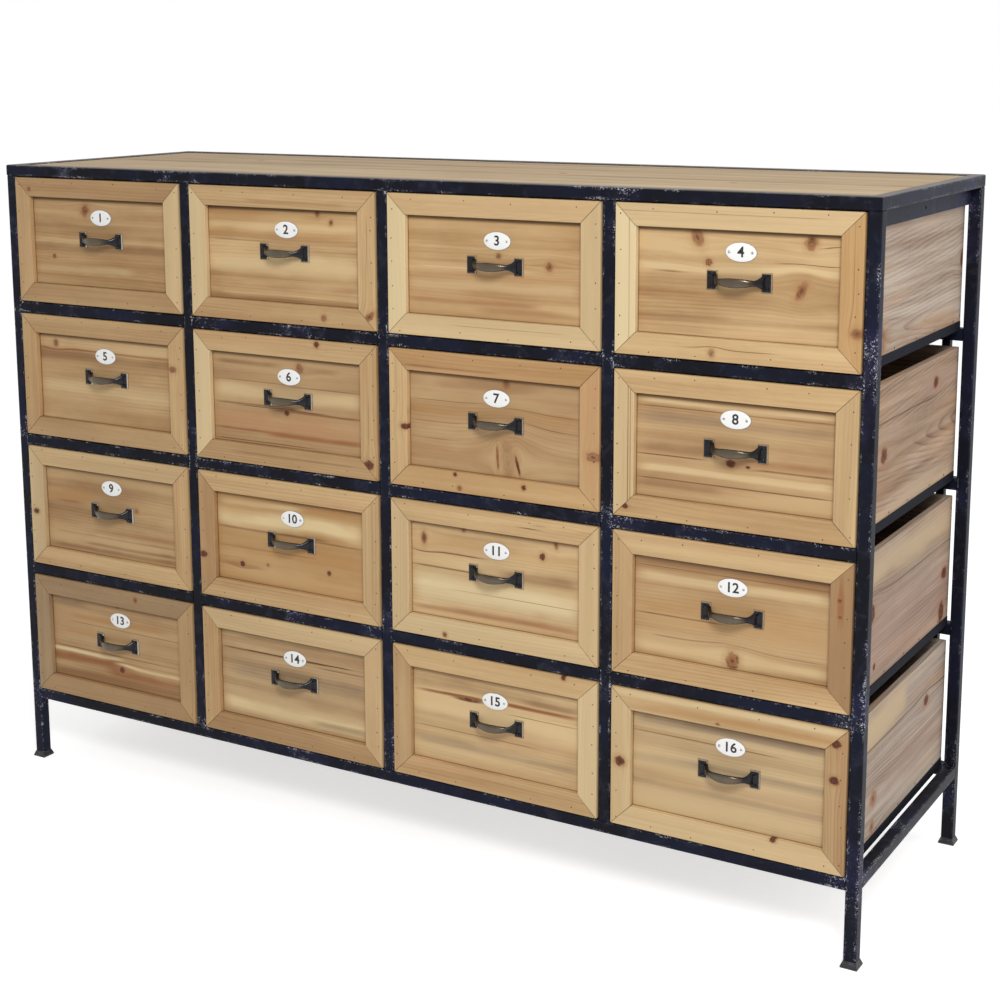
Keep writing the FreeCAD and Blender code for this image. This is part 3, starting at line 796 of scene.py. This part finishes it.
# What marks each drawer's front, in millimetres from its top left corner: knots as (right, down, half width,
# darkness, stretch, tilt), bands as (down, half width, strength, colour, from, to), and washes over a whole
# piece, where 0 is the board and 1 to 4 are the mouldings from the top one clockwise. A band of a moulding
# has its number, times 1000, added to its place from the outer edge. A knot without stretch and tilt is
# round. A band without ends runs over the board from moulding to moulding, and one without its second end
# runs on to the right moulding.
FRONT_MARKS = {
    "a": (
        ((25, 15, 3, 0.8), (117, 41, 6, 1, 1.2, 20), (59, 104, 3, 0.9)),
        ((89, 9, 0.6, BROWN, 0, 282), (60, 5, 0.3, BROWN, 0, 282), (120, 7, 0.3, STRAW, 20, 200)),
        ((0, 0.2, UMBER), (1, 0.4, UMBER), (2, 0.3, CREAM), (3, 0.4, UMBER), (4, 0.15, UMBER)),
    ),
    "b": (
        (
            (194, 29, 3.4, 1, 1.3, -10), (214, 40, 2.8, 1, 1.2, 25), (206, 156, 4, 0.8),
            (273, 150, 3.4, 1, 2.2, -40),
        ),
        (
            (36, 8, 0.45, AMBER, 20), (57, 7, 0.5, AMBER, 20), (66, 1.5, 0.5, BROWN, 30, 120),
            (92, 15, 0.6, STRAW, 20), (123, 8, 0.5, RUST, 20), (112, 1, 0.5, RUST, 20, 200),
            (137, 6, 0.4, BROWN, 20), (1016, 3.5, 0.35, RUST, 90, 240), (2011, 1, 0.5, BROWN, 30, 90),
        ),
        ((1, 0.15, UMBER), (4, 0.5, CREAM), (3, 0.15, UMBER)),
    ),
    "c": (
        ((148, 68, 3, 0.9), (214, 77, 4, 1, 1.2, 10)),
        (
            (124, 4, 0.4, RUST, 20, 200), (132, 5, 0.35, RUST, 120, 260), (76, 3.5, 0.35, RUST, 20, 170),
            (84, 1.2, 0.5, STRAW, 40, 190), (105, 10, 0.35, STRAW, 20), (3015, 0.5, 0.5, BROWN, 90, 240),
        ),
        ((0, 0.15, AMBER), (4, 0.7, CREAM), (2, 0.35, CREAM), (3, 0.35, CREAM), (1, 0.1, CREAM)),
    ),
    "d": (
        (
            (95, 34, 6, 0.85, 1.6, -22), (223, 34, 6, 0.95, 1.25, 15), (108, 61, 3.6, 1),
            (213, 86, 4.6, 0.95, 2.1, 28), (277, 125, 5, 0.9, 1.3), (116, 158, 3.6, 0.7, 1.2),
        ),
        (
            (73, 1.6, 0.9, BROWN, 48, 84), (68, 6, 0.5, STRAW, 20, 260), (59, 0.45, 1.4, CRACK, 190),
            (37, 0.4, 1.4, CRACK, 236), (122, 5, 0.3, BROWN, 0, 282), (1008, 0.6, 0.6, UMBER, 0, 240),
            (3013, 0.8, 0.6, BROWN, 80, 190), (4017, 1, 0.4, BROWN, 0, 167), (2010, 0.7, 0.5, BROWN, 0, 130),
        ),
        ((0, 0.12, UMBER), (4, 0.85, CREAM), (1, 0.3, CREAM), (2, 0.55, AMBER)),
    ),
    "e": (
        ((54, 38, 4, 0.9, 1.2), (264, 56, 4, 0.9, 1.4)),
        ((55, 9, 0.5, BROWN, 0, 282), (46, 2, 0.7, RUST, 20, 260), (95, 12, 0.3, STRAW)),
        ((0, 0.2, UMBER), (1, 0.25, UMBER), (3, 0.4, UMBER)),
    ),
    "f": (
        (
            (162, 39, 5, 0.8, 1.2, -30), (194, 5, 3.6, 1.2), (141, 97, 3.6, 1.2, 0.9),
            (269, 148, 5.4, 1.3, 1.1, 10),
        ),
        (
            (92.5, 1.7, 1, BROWN, 25, 160), (96.2, 1.9, 1, BROWN, 120), (94.5, 0.6, 1, CRACK, 60, 200),
            (62, 0.6, 0.8, BROWN, 25, 160), (63.6, 1, 0.8, BROWN, 140), (125, 2.2, 0.8, RUST, 25, 140),
            (126.5, 4.5, 0.8, RUST, 110), (112, 16, 0.4, BLUSH), (139, 0.9, 0.8, BROWN, 25, 180),
            (76, 12, 0.5, STRAW), (38, 4, 0.6, BROWN, 30, 130), (40, 4, 0.5, BROWN, 160, 220),
            (3014, 2, 0.5, UMBER, 60, 250), (2012, 1.2, 0.6, BROWN, 60, 130),
        ),
        ((0, 0.5, UMBER), (4, 0.55, CREAM), (3, 0.25, UMBER), (1, 0.1, UMBER)),
    ),
    "g": (
        (
            (160, 123, 9, 0.3, 2.4, -8), (173, 127, 1.7, 1.2, 6, -14), (146, 120, 1.5, 1, 8, -3),
            (22, 94, 3.4, 1.1, 1.6), (275, 104, 5, 0.8, 1.6), (92, 145, 2.4, 1.2), (185, 150, 2.8, 1.2),
            (98, 161, 3, 0.9), (158, 31, 5, 0.6, 1.3),
        ),
        (
            (60, 0.8, 0.8, BROWN, 25, 130), (65, 1, 0.8, BROWN, 150), (86, 0.8, 0.7, BROWN, 25, 110),
            (83, 0.9, 0.8, BROWN, 180), (119, 8, 0.4, RUST, 25, 130), (106, 0.8, 0.6, BROWN, 25, 90),
            (37, 7, 0.3, BROWN, 60, 200), (72, 10, 0.35, AMBER), (138, 5, 0.4, SLATE, 190),
            (1018, 2, 0.6, BROWN, 20, 150),
        ),
        ((0, 0.45, UMBER), (2, 0.3, BLUSH), (1, 0.35, AMBER), (3, 0.35, AMBER)),
    ),
    "h": (
        ((138, 94, 5, 1.2, 0.8), (158, 96, 2.4, 1.1, 0.6), (15, 155, 3.4, 1.2, 0.8)),
        (
            (33, 4.5, 0.55, STRAW), (39, 0.9, 0.8, BROWN), (52, 8, 0.3, SLATE), (86, 8, 0.5, BROWN, 25, 120),
            (92, 7, 0.5, RUST, 130), (94, 1, 1, BROWN, 25, 110), (98, 1.4, 1, BROWN, 165),
            (109, 6, 0.55, STRAW), (120.5, 1, 1, BROWN), (127, 6, 0.5, UMBER, 25, 130),
            (4018, 0.7, 0.8, BROWN, 0, 167), (4021, 0.6, 0.7, BROWN, 0, 167),
        ),
        ((0, 0.3, UMBER), (2, 0.2, CREAM), (4, 0.35, CREAM)),
    ),
    "i": (
        ((10, 92, 3.4, 1.1, 1.4), (186, 72, 4, 0.5)),
        (
            (66, 12, 0.5, AMBER, 25, 110), (74, 3, 0.4, RUST, 40, 90), (84, 9, 0.3, BROWN, 0, 150),
            (117, 2, 0.5, BROWN, 40), (128, 3, 0.6, BROWN, 90), (136, 4, 0.6, BROWN, 30),
            (48, 7, 0.25, BROWN, 0, 282), (108, 4, 0.35, RUST, 100),
        ),
        ((0, 0.35, UMBER), (4, 0.45, CREAM), (1, 0.2, CREAM)),
    ),
    "j": (
        ((64, 119, 3.4, 1.2, 1, 15), (201, 112, 2.8, 1.1), (6, 112, 4, 1.2, 1.3), (105, 115, 2, 0.8)),
        (
            (56, 14, 0.8, STRAW, 20), (36, 5, 0.5, STRAW, 30, 160), (71, 2.2, 0.7, BROWN, 25, 200),
            (74, 1.6, 0.6, BROWN, 170), (120, 3, 0.5, BROWN, 30, 100), (100, 12, 0.3, AMBER, 60),
            (96, 0.8, 0.5, BROWN, 25, 180),
        ),
        ((0, 0.55, AMBER), (4, 0.3, UMBER), (2, 0.15, CREAM)),
    ),
    "k": (
        (
            (43, 46, 3.4, 1, 2), (99, 29, 2.6, 0.8), (224, 31, 2.4, 0.8, 1.8, -10),
            (206, 47, 3.2, 1.1, 1.3, 10), (76, 161, 3, 1),
        ),
        (
            (60, 1.2, 0.9, BROWN, 25, 130), (48, 9, 0.3, AMBER), (80, 1.6, 0.7, BROWN, 25, 150),
            (76, 10, 0.45, BROWN, 150), (106, 18, 0.65, CREAM), (131, 5, 0.6, RUST),
            (105, 0.6, 0.6, BROWN, 80), (1008.6, 0.9, 1.2, CRACK, 197, 212),
            (1013.5, 0.9, 1.2, CRACK, 180, 205), (1009, 0.8, 1, CRACK, 258, 272),
        ),
        ((0, 0.12, CREAM), (2, 0.3, CREAM), (4, 0.35, CREAM), (3, 0.4, CREAM)),
    ),
    "l": (
        ((145, 132, 7, 1, 1.25), (268, 42, 2.6, 1), (269, 60, 2.2, 0.8)),
        (
            (32, 4.5, 0.6, UMBER), (37, 0.7, 0.9, BROWN), (49, 8, 0.45, STRAW), (88, 24, 0.35, AMBER),
            (92.5, 1.2, 0.8, BROWN, 25, 140), (117, 1.1, 1, BROWN, 50, 140), (118.5, 1, 0.7, BROWN, 140),
            (130, 9, 0.55, STRAW), (2013, 3, 0.8, RUST, 15, 70),
        ),
        ((2, 0.8, UMBER), (0, 0.35, UMBER), (1, 0.1, CREAM), (4, 0.25, UMBER)),
    ),
    "m": (
        ((184, 10, 3.4, 0.9, 1.2), (149, 117, 4.2, 1.1, 0.9), (145, 27, 4, 0.9, 0.6)),
        (
            (115, 8, 0.75, RUST, 0, 150), (124, 10, 0.6, RUST, 120, 282), (104, 3.5, 0.8, STRAW, 0, 150),
            (112, 3, 0.8, STRAW, 140, 282), (99, 0.9, 0.8, BROWN), (34, 6, 0.5, SLATE, 25, 90),
            (52, 5, 0.6, AMBER, 60, 230), (75, 5, 0.5, AMBER, 40, 180), (62, 0.8, 0.6, BROWN, 60),
            (134, 5, 0.4, BROWN),
        ),
        ((0, 0.35, UMBER), (1, 0.45, SLATE), (4, 0.5, SLATE), (2, 0.4, UMBER), (3, 0.6, UMBER)),
    ),
    "n": (
        (),
        (
            (51, 1.5, 0.8, BROWN, 25, 200), (50, 0.7, 1.5, CRACK, 66, 230), (56, 1.2, 0.6, BROWN, 180),
            (126, 12, 0.8, STRAW), (130, 5, 0.5, SLATE, 170), (78, 10, 0.3, SLATE, 40),
            (32, 3, 0.4, BROWN, 60, 200),
        ),
        ((0, 0.25, SLATE), (1, 0.3, CREAM), (3, 0.35, UMBER), (2, 0.2, CREAM)),
    ),
    "o": (
        ((238, 2, 3, 1.1), (104, 56, 5, 1.2, 0.35, 3)),
        (
            (55.5, 2.2, 1.2, CRACK, 84, 124), (53.5, 2.6, 1, RUST, 30, 130), (52, 3.2, 0.9, RUST, 150),
            (40, 9, 0.45, UMBER), (44, 5, 0.5, BROWN, 180), (72, 12, 0.5, STRAW), (64, 0.8, 0.7, BROWN, 160),
            (100, 0.8, 0.6, BROWN, 25, 200), (118, 8, 0.3, SLATE),
        ),
        ((0, 0.15, CREAM), (4, 0.3, UMBER), (2, 0.55, CREAM)),
    ),
    "p": (
        (
            (12, 89, 5.2, 1.2, 1.1), (269, 17, 4.4, 1.2, 1.2), (268, 59, 4.6, 1.1, 1.1),
            (200, 143, 3.4, 1.1, 0.7), (132, 21, 2.4, 0.8, 0.6),
        ),
        (
            (34, 7, 0.5, SLATE), (49, 0.9, 0.7, BROWN, 25, 200), (80, 7, 0.3, SLATE, 0, 282),
            (110, 5, 0.3, SLATE, 0, 282), (96, 14, 0.3, AMBER, 30, 110), (1004, 5, 0.5, CREAM, 0, 282),
            (1016, 5, 0.4, AMBER, 40, 282),
        ),
        (
            (0, 0.2, SLATE), (0, 0.2, CREAM), (1, 0.15, UMBER), (4, 0.3, CREAM), (2, 0.15, SLATE),
            (3, 0.3, CREAM),
        ),
    ),
}
# The top moulding of one drawer shows nested arches.
FRONT_FIGURES = {"c": (1, 1.012, 0.1, 0.002, 25)}


def front_knot(right, down, half, darkness, stretch=1, tilt=0):
    return (*on_front(right, down), half / 780, darkness, stretch, tilt)


def front_band(down, half, strength, stain, start=MOULDING_WIDE, end=FRONT_WIDE - MOULDING_WIDE):
    return down / 1000, half / 1000, strength, stain, start / 1000, end / 1000


for number, letter in enumerate(DRAWERS):
    knots, bands, washes = FRONT_MARKS[letter]
    front_wood = wood(
        f"front_wood_{letter}", *GOLD, 40.0 + number * 3.7, spacing=4.4, lines=0.65, washes=washes,
        figure=FRONT_FIGURES.get(letter), framed=True, knots=[front_knot(*marks) for marks in knots],
        bands=[front_band(*marks) for marks in bands],
    )
    fitted(board_master, letter, "front_board", (0, 0, 0), front_wood, "front_wood", f"drawer_{letter}_front")
    fitted(moulding_master, letter, "mouldings", (0, 0, 0), front_wood, "front_wood")
bpy.data.objects.remove(board_master)
bpy.data.objects.remove(moulding_master)

# A cast iron pull is screwed to each front: a bow that swells in its middle, narrows to a neck on each side
# and fans out to a plate with sloping edges. It is black, with a pewter shine where hands have rubbed it.
PULL_X = OPENING_WIDE / 2 + 2.7
PULL_Z = FRONT_TOP - 79.5
PULL_REACH = 20
PULL_HOLLOW = 15
FRONT_ROOT = 31
BACK_ROOT = 25
PULL_END = 37.5
PLATE_HALF_HIGH = 10.75
NECK = 19.5
NECK_HALF_HIGH = 3.1


def bow_half_height(x, root):
    """Half the bow's height at a distance from its middle, on a line that meets the plate at the root."""
    x = abs(x)
    if x < NECK:
        return NECK_HALF_HIGH + 2.1 * (1 - (x / NECK) ** 2)
    return NECK_HALF_HIGH + 5.9 * min(1, (x - NECK) / (root - NECK)) ** 2.1


def arc(half_chord, rise, share):
    """A point on the arc over a chord, from -1 at its left end to 1 at its right end."""
    radius = (half_chord ** 2 + rise ** 2) / (2 * rise)
    angle = share * math.asin(half_chord / radius)
    return radius * math.sin(angle), rise - radius + radius * math.cos(angle)


pull_shell = Shell()
STATIONS = 56
ROUND = 20
bow_rings = []
bow_worn = []
for station in range(STATIONS + 1):
    share = 2 * station / STATIONS - 1
    front_x, front_y = arc(FRONT_ROOT, PULL_REACH, share)
    back_x, back_y = arc(BACK_ROOT, PULL_HOLLOW, share)
    bow_rings.append([])
    for step in range(ROUND):
        angle = 2 * math.pi * step / ROUND
        depth = math.copysign(abs(math.cos(angle)) ** 0.75, math.cos(angle)) * 0.5 + 0.5
        height = math.copysign(abs(math.sin(angle)) ** 0.75, math.sin(angle))
        x = back_x + (front_x - back_x) * depth
        y = back_y + (front_y - back_y) * depth
        root = BACK_ROOT + (FRONT_ROOT - BACK_ROOT) * depth
        bow_rings[-1].append((x, -y, height * bow_half_height(x, root)))
        bow_worn.append((0.55 + 0.45 * math.cos(angle)) * max(0.0, 1 - (abs(x) / BACK_ROOT) ** 4))
pull_shell.add_skin(bow_rings, bow_worn)
# Levels of up to 2 on a plate's sloping edges paint them bright: rubbed iron with a painted glint.
PLATE_LEVELS = ((0, 0, 0.2), (0.25, 0.0, 1.6), (1.75, 0.7, 2.0), (2.1, 0.95, 1.8), (2.2, 1.3, 0.2))
for side in (-1, 1):
    plate_rings = []
    plate_worn = []
    for height, inset, rubbed in PLATE_LEVELS:
        near = BACK_ROOT + inset
        far = PULL_END - inset
        half = PLATE_HALF_HIGH - inset
        plate_rings.append([
            (side * x, -height, z) for x, z in ((near, -half), (far, -half), (far, half), (near, half))
        ])
        plate_worn += [rubbed] * 4
    pull_shell.add_skin(plate_rings, plate_worn)


def pull_iron():
    finish = Finish("pull_iron")
    place = finish.place()
    cast = finish.noise(place, 900, 3, 0.6)
    cloudy = finish.noise(place, 90, 3, 0.6)
    touch = finish.attribute("worn")
    rubbed = (touch + (cloudy - 0.5) * 0.5).ramp(0.35, 1.1)
    colour = finish.mixed(rubbed, tint(26, 26, 31), tint(92, 82, 66))
    # The sloping edges of the plates go near white: rubbed bare iron, and partly a painted glint.
    colour = finish.mixed((touch + (cloudy - 0.5) * 0.8).ramp(1.2, 1.9), colour, tint(196, 190, 180))
    return finish.surface(
        Base_Color=colour, Metallic=0.9, Roughness=0.20 + cast * 0.14, Coat_Weight=0.3, Coat_Roughness=0.15,
        Normal=finish.bump(cast * 0.6 + cloudy * 0.4, 0.2, 0.0004),
    )


iron = pull_iron()
pull_master = pull_shell.make("pull_master", iron, crease=32)
for letter in DRAWERS:
    spot = (PULL_X, BOARD_FACE, PULL_Z)
    fitted(pull_master, letter, "pull_casting", spot, iron, "pull_iron", f"drawer_{letter}_pull")
bpy.data.objects.remove(pull_master)

# Over each pull is a small oval of white enamel on steel with a number, held by a screw near each end. The
# plates were set by hand, so each sits a little differently.
LABEL_PLACES = {
    "a": (144.6, 49.8), "b": (146.9, 51.5), "c": (146.4, 50.8), "d": (145.1, 48.3),
    "e": (142.9, 49.8), "f": (146.0, 50.9), "g": (145.0, 50.0), "h": (142.9, 45.0),
    "i": (143.9, 45.8), "j": (146.0, 48.7), "k": (144.4, 48.9), "l": (143.6, 48.5),
    "m": (149.6, 46.2), "n": (144.7, 49.6), "o": (141.8, 51.3), "p": (145.1, 48.2),
}
LABEL_RINGS = ((1, 0), (1, 0.5), (0.985, 0.8), (0.94, 1.02), (0.82, 1.2), (0.6, 1.32), (0.3, 1.38))
LABEL_STEPS = 48
LABEL_HALF_WIDE = 18
LABEL_HALF_HIGH = 10.5
NUMERAL_HEIGHT = 1.45


def enamel():
    finish = Finish("label_enamel")
    place = finish.place()
    rim = finish.attribute("worn")
    mottle = finish.noise(place, 700, 3, 0.6)
    stain = (rim + (mottle - 0.5) * 0.5).ramp(0.62, 1.0)
    colour = finish.mixed(mottle * 0.5, tint(252, 252, 250), tint(238, 237, 234))
    colour = finish.mixed(stain * 0.85, colour, tint(96, 84, 74))
    relief = finish.bump(mottle, 0.1, 0.0002)
    return finish.surface(Base_Color=colour, Roughness=0.2 + stain * 0.4, Normal=relief)


def numeral_ink():
    finish = Finish("numeral_ink")
    fleck = finish.noise(finish.place(), 2400, 2, 0.6)
    colour = finish.mixed(fleck.ramp(0.62, 0.8) * 0.5, tint(24, 24, 26), tint(90, 90, 92))
    return finish.surface(Base_Color=colour, Roughness=0.35 + fleck * 0.2)


white_enamel = enamel()
ink = numeral_ink()
for number, (letter, (left, level)) in enumerate(zip(DRAWERS, OPENINGS), start=1):
    body = f"drawer_{letter}"
    label_x, label_down = LABEL_PLACES[letter]
    middle = Vector((left + FRONT_LEFT + label_x, BOARD_FACE, level + FRONT_TOP - label_down))
    rings = []
    worn = []
    for share, height in LABEL_RINGS:
        rings.append([])
        for step in range(LABEL_STEPS):
            angle = 2 * math.pi * step / LABEL_STEPS
            across = LABEL_HALF_WIDE * share * math.cos(angle)
            rings[-1].append(middle + Vector((across, -height, LABEL_HALF_HIGH * share * math.sin(angle))))
        worn += [0.95 if share > 0.98 else 0.4 if share > 0.9 else 0.0] * LABEL_STEPS
    label = Shell()
    label.add_skin(rings, worn)
    belongs(label.make(f"{body}_label", white_enamel), body, "front_wood")

    letters = bpy.data.curves.new(f"{body}_number", "FONT")
    letters.body = str(number)
    letters.size = 0.0158
    letters.align_x = "CENTER"
    letters.align_y = "CENTER"
    letters.extrude = 0.00018
    letters.offset = 0.0003
    letters.space_character = 1.02
    writing = in_scene(f"{body}_number", letters)
    bpy.context.view_layer.update()
    mesh = bpy.data.meshes.new_from_object(writing.evaluated_get(bpy.context.evaluated_depsgraph_get()))
    bpy.data.objects.remove(writing)
    upright = Matrix.Rotation(math.pi / 2, 4, "X")
    mesh.transform(Matrix.Translation((middle - Vector((0, NUMERAL_HEIGHT, 0))) / 1000) @ upright)
    mesh.materials.clear()
    mesh.materials.append(ink)
    belongs(in_scene(f"{body}_number", mesh), body, "front_wood")


# Screws hold the pulls and the labels, pins hold the mouldings and nails the boxes. Each kind is one head,
# set on the points where that kind goes, with its own turn and size.
def heads_tree(name, steps, rings, slotted):
    """Heads on the given points: domed, round, turned at random, with a slot across if the kind has one."""
    tree = bpy.data.node_groups.new(name, "GeometryNodeTree")
    tree.interface.new_socket("Geometry", in_out="INPUT", socket_type="NodeSocketGeometry")
    inputs = {}
    for label, kind in (
        ("Radius", "Float"), ("Height", "Float"), ("Seed", "Int"), ("Facing", "Vector"),
        ("Material", "Material"),
    ):
        socket = tree.interface.new_socket(label, in_out="INPUT", socket_type=f"NodeSocket{kind}")
        inputs[label] = socket.identifier
    tree.interface.new_socket("Geometry", in_out="OUTPUT", socket_type="NodeSocketGeometry")
    head = Wiring(tree)
    points, radius, height, seed, facing, coat = head.outputs(head.node("NodeGroupInput"))[:6]

    barrel = head.node(
        "GeometryNodeMeshCylinder", {"fill_type": "NGON"},
        {"Vertices": steps, "Side Segments": 1, "Fill Segments": rings, "Radius": radius, "Depth": height},
    )
    x, y, z = head.parts(head.node("GeometryNodeInputPosition"))
    share = head.length(head.joined(x, y)) / radius
    upper = z.math("GREATER_THAN", 0.0)
    lift = (1.0 - share * share) * height * upper
    if slotted:
        narrow = x.math("ABSOLUTE").math("LESS_THAN", radius * 0.17)
        slot = narrow * share.math("LESS_THAN", 0.93)
        lift = lift - slot * (height * 0.9) * upper
    formed = head.node(
        "GeometryNodeSetPosition", sockets={"Geometry": barrel, "Offset": head.joined(0, 0, lift)}
    )
    chance = {"data_type": "FLOAT"}
    turn = head.node("FunctionNodeRandomValue", chance, {2: 0.0, 3: math.tau, "Seed": seed}, output=1)
    size = head.node("FunctionNodeRandomValue", chance, {2: 0.9, 3: 1.08, "Seed": seed}, output=1)
    faced = head.node("FunctionNodeAlignRotationToVector", {"axis": "Z"}, {"Vector": facing})
    spun = head.node("FunctionNodeEulerToRotation", sockets={0: head.joined(0, 0, turn)})
    turned = head.node("FunctionNodeRotateRotation", {"rotation_space": "LOCAL"}, {0: faced, 1: spun})
    sized = head.joined(size, size, 1.0)
    placed = head.node(
        "GeometryNodeInstanceOnPoints",
        sockets={"Points": points, "Instance": formed, "Rotation": turned, "Scale": sized},
    )
    real = head.node("GeometryNodeRealizeInstances", sockets={0: placed})
    coated = head.node("GeometryNodeSetMaterial", sockets={"Geometry": real, "Material": coat})
    tree.links.new(coated.socket, tree.nodes.new("NodeGroupOutput").inputs[0])
    return tree, inputs


def set_heads(name, tree_and_inputs, places, radius, height, facing, seed, material):
    """One mesh of heads, set on points given in millimetres."""
    tree, inputs = tree_and_inputs
    mesh = bpy.data.meshes.new(name)
    mesh.from_pydata([Vector(place) / 1000 for place in places], [], [])
    piece = in_scene(name, mesh)
    modifier = piece.modifiers.new("heads", "NODES")
    modifier.node_group = tree
    modifier[inputs["Radius"]] = radius / 1000
    modifier[inputs["Height"]] = height / 1000
    modifier[inputs["Seed"]] = seed
    modifier[inputs["Facing"]] = facing
    modifier[inputs["Material"]] = material
    return smoothed(piece, 40)


def screw_steel():
    finish = Finish("screw_steel")
    place = finish.place()
    scratch = finish.noise(place, 1500, 3, 0.6)
    tarnish = finish.noise(place, 300, 2, 0.5)
    colour = finish.mixed(tarnish, tint(205, 202, 198), tint(150, 146, 140))
    relief = finish.bump(scratch, 0.2, 0.0002)
    return finish.surface(Base_Color=colour, Metallic=0.9, Roughness=0.35 + scratch * 0.2, Normal=relief)


def nail_iron():
    finish = Finish("nail_iron")
    place = finish.place()
    rust = finish.noise(place, 500, 3, 0.6)
    colour = finish.mixed(rust, tint(58, 42, 31), tint(104, 76, 52))
    return finish.surface(
        Base_Color=colour, Metallic=0.4, Roughness=0.6 + rust * 0.2, Normal=finish.bump(rust, 0.2, 0.0002)
    )


screw_heads = heads_tree("screw_heads", 24, 6, True)
pin_heads = heads_tree("pin_heads", 8, 2, False)
steel = screw_steel()
nail = nail_iron()
for number, (letter, (left, level)) in enumerate(zip(DRAWERS, OPENINGS)):
    body = f"drawer_{letter}"
    chance = random.Random(number)
    pull_x = left + PULL_X
    pull_z = level + PULL_Z
    screws = [
        (pull_x + side * 31.9, BOARD_FACE - 2.5, pull_z + up) for side in (-1, 1) for up in (-6.5, 6.5)
    ]
    heads = set_heads(f"{body}_pull_screws", screw_heads, screws, 2.1, 0.7, (0, -1, 0), number, iron)
    belongs(heads, body, "pull_iron")
    label_x, label_down = LABEL_PLACES[letter]
    label_z = level + FRONT_TOP - label_down
    screws = [(left + FRONT_LEFT + label_x + side * 13.2, BOARD_FACE - 1.35, label_z) for side in (-1, 1)]
    heads = set_heads(f"{body}_label_screws", screw_heads, screws, 1.5, 0.5, (0, -1, 0), number + 50, steel)
    belongs(heads, body, "pull_iron")

    pins = []
    face = BOARD_FACE - MOULDING_HIGH
    for up in (20, 52, 84, 116, 147):
        for edge in (6, FRONT_WIDE - 6):
            x = left + FRONT_LEFT + edge + chance.uniform(-1.5, 1.5)
            pins.append((x, face, level + FRONT_LOW + up + chance.uniform(-11, 11)))
    for along in (35, 105, 175, 245):
        for edge in (6, FRONT_HIGH - 6):
            x = left + FRONT_LEFT + along + chance.uniform(-20, 20)
            pins.append((x, face, level + FRONT_LOW + edge + chance.uniform(-2, 2)))
    heads = set_heads(f"{body}_pins", pin_heads, pins, 0.8, 0.12, (0, -1, 0), number, nail)
    belongs(heads, body, "front_wood")

    for side, outside in ((-1, left + BOX_LEFT), (1, left + OPENING_WIDE - BOX_LEFT)):
        nails = [(outside, BOX_END - 4 + chance.uniform(-0.8, 0.8), level + up) for up in (16, 80, 146)]
        for step in range(5):
            nails.append((outside, BOX_FRONT + 30 + 72 * step + chance.uniform(-8, 8), level + 12))
        edge = "left" if side < 0 else "right"
        heads = set_heads(f"{body}_nails_{edge}", pin_heads, nails, 1.5, 0.2, (side, 0, 0), number, nail)
        belongs(heads, body, "box_wood")

# The room is a white floor that runs out of sight under a white sky. A soft lamp stands high on the right, in
# front, so the light fades towards the left end of the chest. A weaker one stands beyond the right end.
floor_mesh = bpy.data.meshes.new("floor")
floor_mesh.from_pydata([(-30, -30, 0), (30, -30, 0), (30, 30, 0), (-30, 30, 0)], [], [(0, 1, 2, 3)])
floor = in_scene("floor", floor_mesh)


def seen(wiring):
    """1 for a ray from the camera, or from there by way of metal or glass."""
    rays = wiring.node("ShaderNodeLightPath").socket.node.outputs
    straight, mirrored, through = (
        Signal(wiring, rays[name]) for name in ("Is Camera Ray", "Is Glossy Ray", "Is Transmission Ray")
    )
    return straight.math("MAXIMUM", mirrored).math("MAXIMUM", through)


def floor_white():
    finish = Finish("floor_white")
    glow = finish.mixed(seen(finish), (0, 0, 0, 1), (0.62, 0.62, 0.62, 1))
    finish.shader.inputs["Emission Strength"].default_value = 1.0
    return finish.surface(
        Base_Color=(0.8, 0.8, 0.8, 1), Roughness=0.9, Specular_IOR_Level=0.0, Emission_Color=glow
    )


floor_mesh.materials.append(floor_white())

world = bpy.data.worlds.new("studio")
world.use_nodes = True
studio = Wiring(world.node_tree)
background = world.node_tree.nodes["Background"]
studio.feed(background.inputs["Color"], (1, 1, 1, 1))
studio.feed(background.inputs["Strength"], 0.5 + seen(studio) * 0.5)
bpy.context.scene.world = world


def soft_lamp(name, place, target, width, height, power):
    lamp = bpy.data.lights.new(name, "AREA")
    lamp.shape = "RECTANGLE"
    lamp.size = width
    lamp.size_y = height
    lamp.energy = power
    standing = in_scene(name, lamp)
    standing.location = place
    standing.rotation_euler = (Vector(target) - Vector(place)).to_track_quat("-Z", "Y").to_euler()


soft_lamp("key", (1.5, -2.0, 2.1), (0.2, 0, 0.5), 0.7, 0.7, 42)
soft_lamp("side", (2.6, 0.5, 1.6), (0.5, 0, 0.5), 1.2, 1.2, 13)

# The camera stands in front of the chest, to the right of it and a little over its top. Its three directions
# are those of the picture's right, its down and the depth.
view = bpy.data.cameras.new("photograph")
view.sensor_width = 36
view.lens = 64.64
view.shift_x = 0.03
view.shift_y = -0.12
view.clip_end = 100
camera = in_scene("photograph", view)
right = Vector((0.8573997, 0.5146219, -0.0054771))
down = Vector((0.0874523, -0.1561733, -0.9838506))
ahead = Vector((-0.5071664, 0.8430742, -0.1789078))
turn = Matrix((right, -down, -ahead)).transposed().to_4x4()
camera.matrix_world = Matrix.Translation((1.18378, -1.95031, 0.98613)) @ turn
bpy.context.scene.camera = camera
bpy.context.scene.view_settings.view_transform = "Standard"
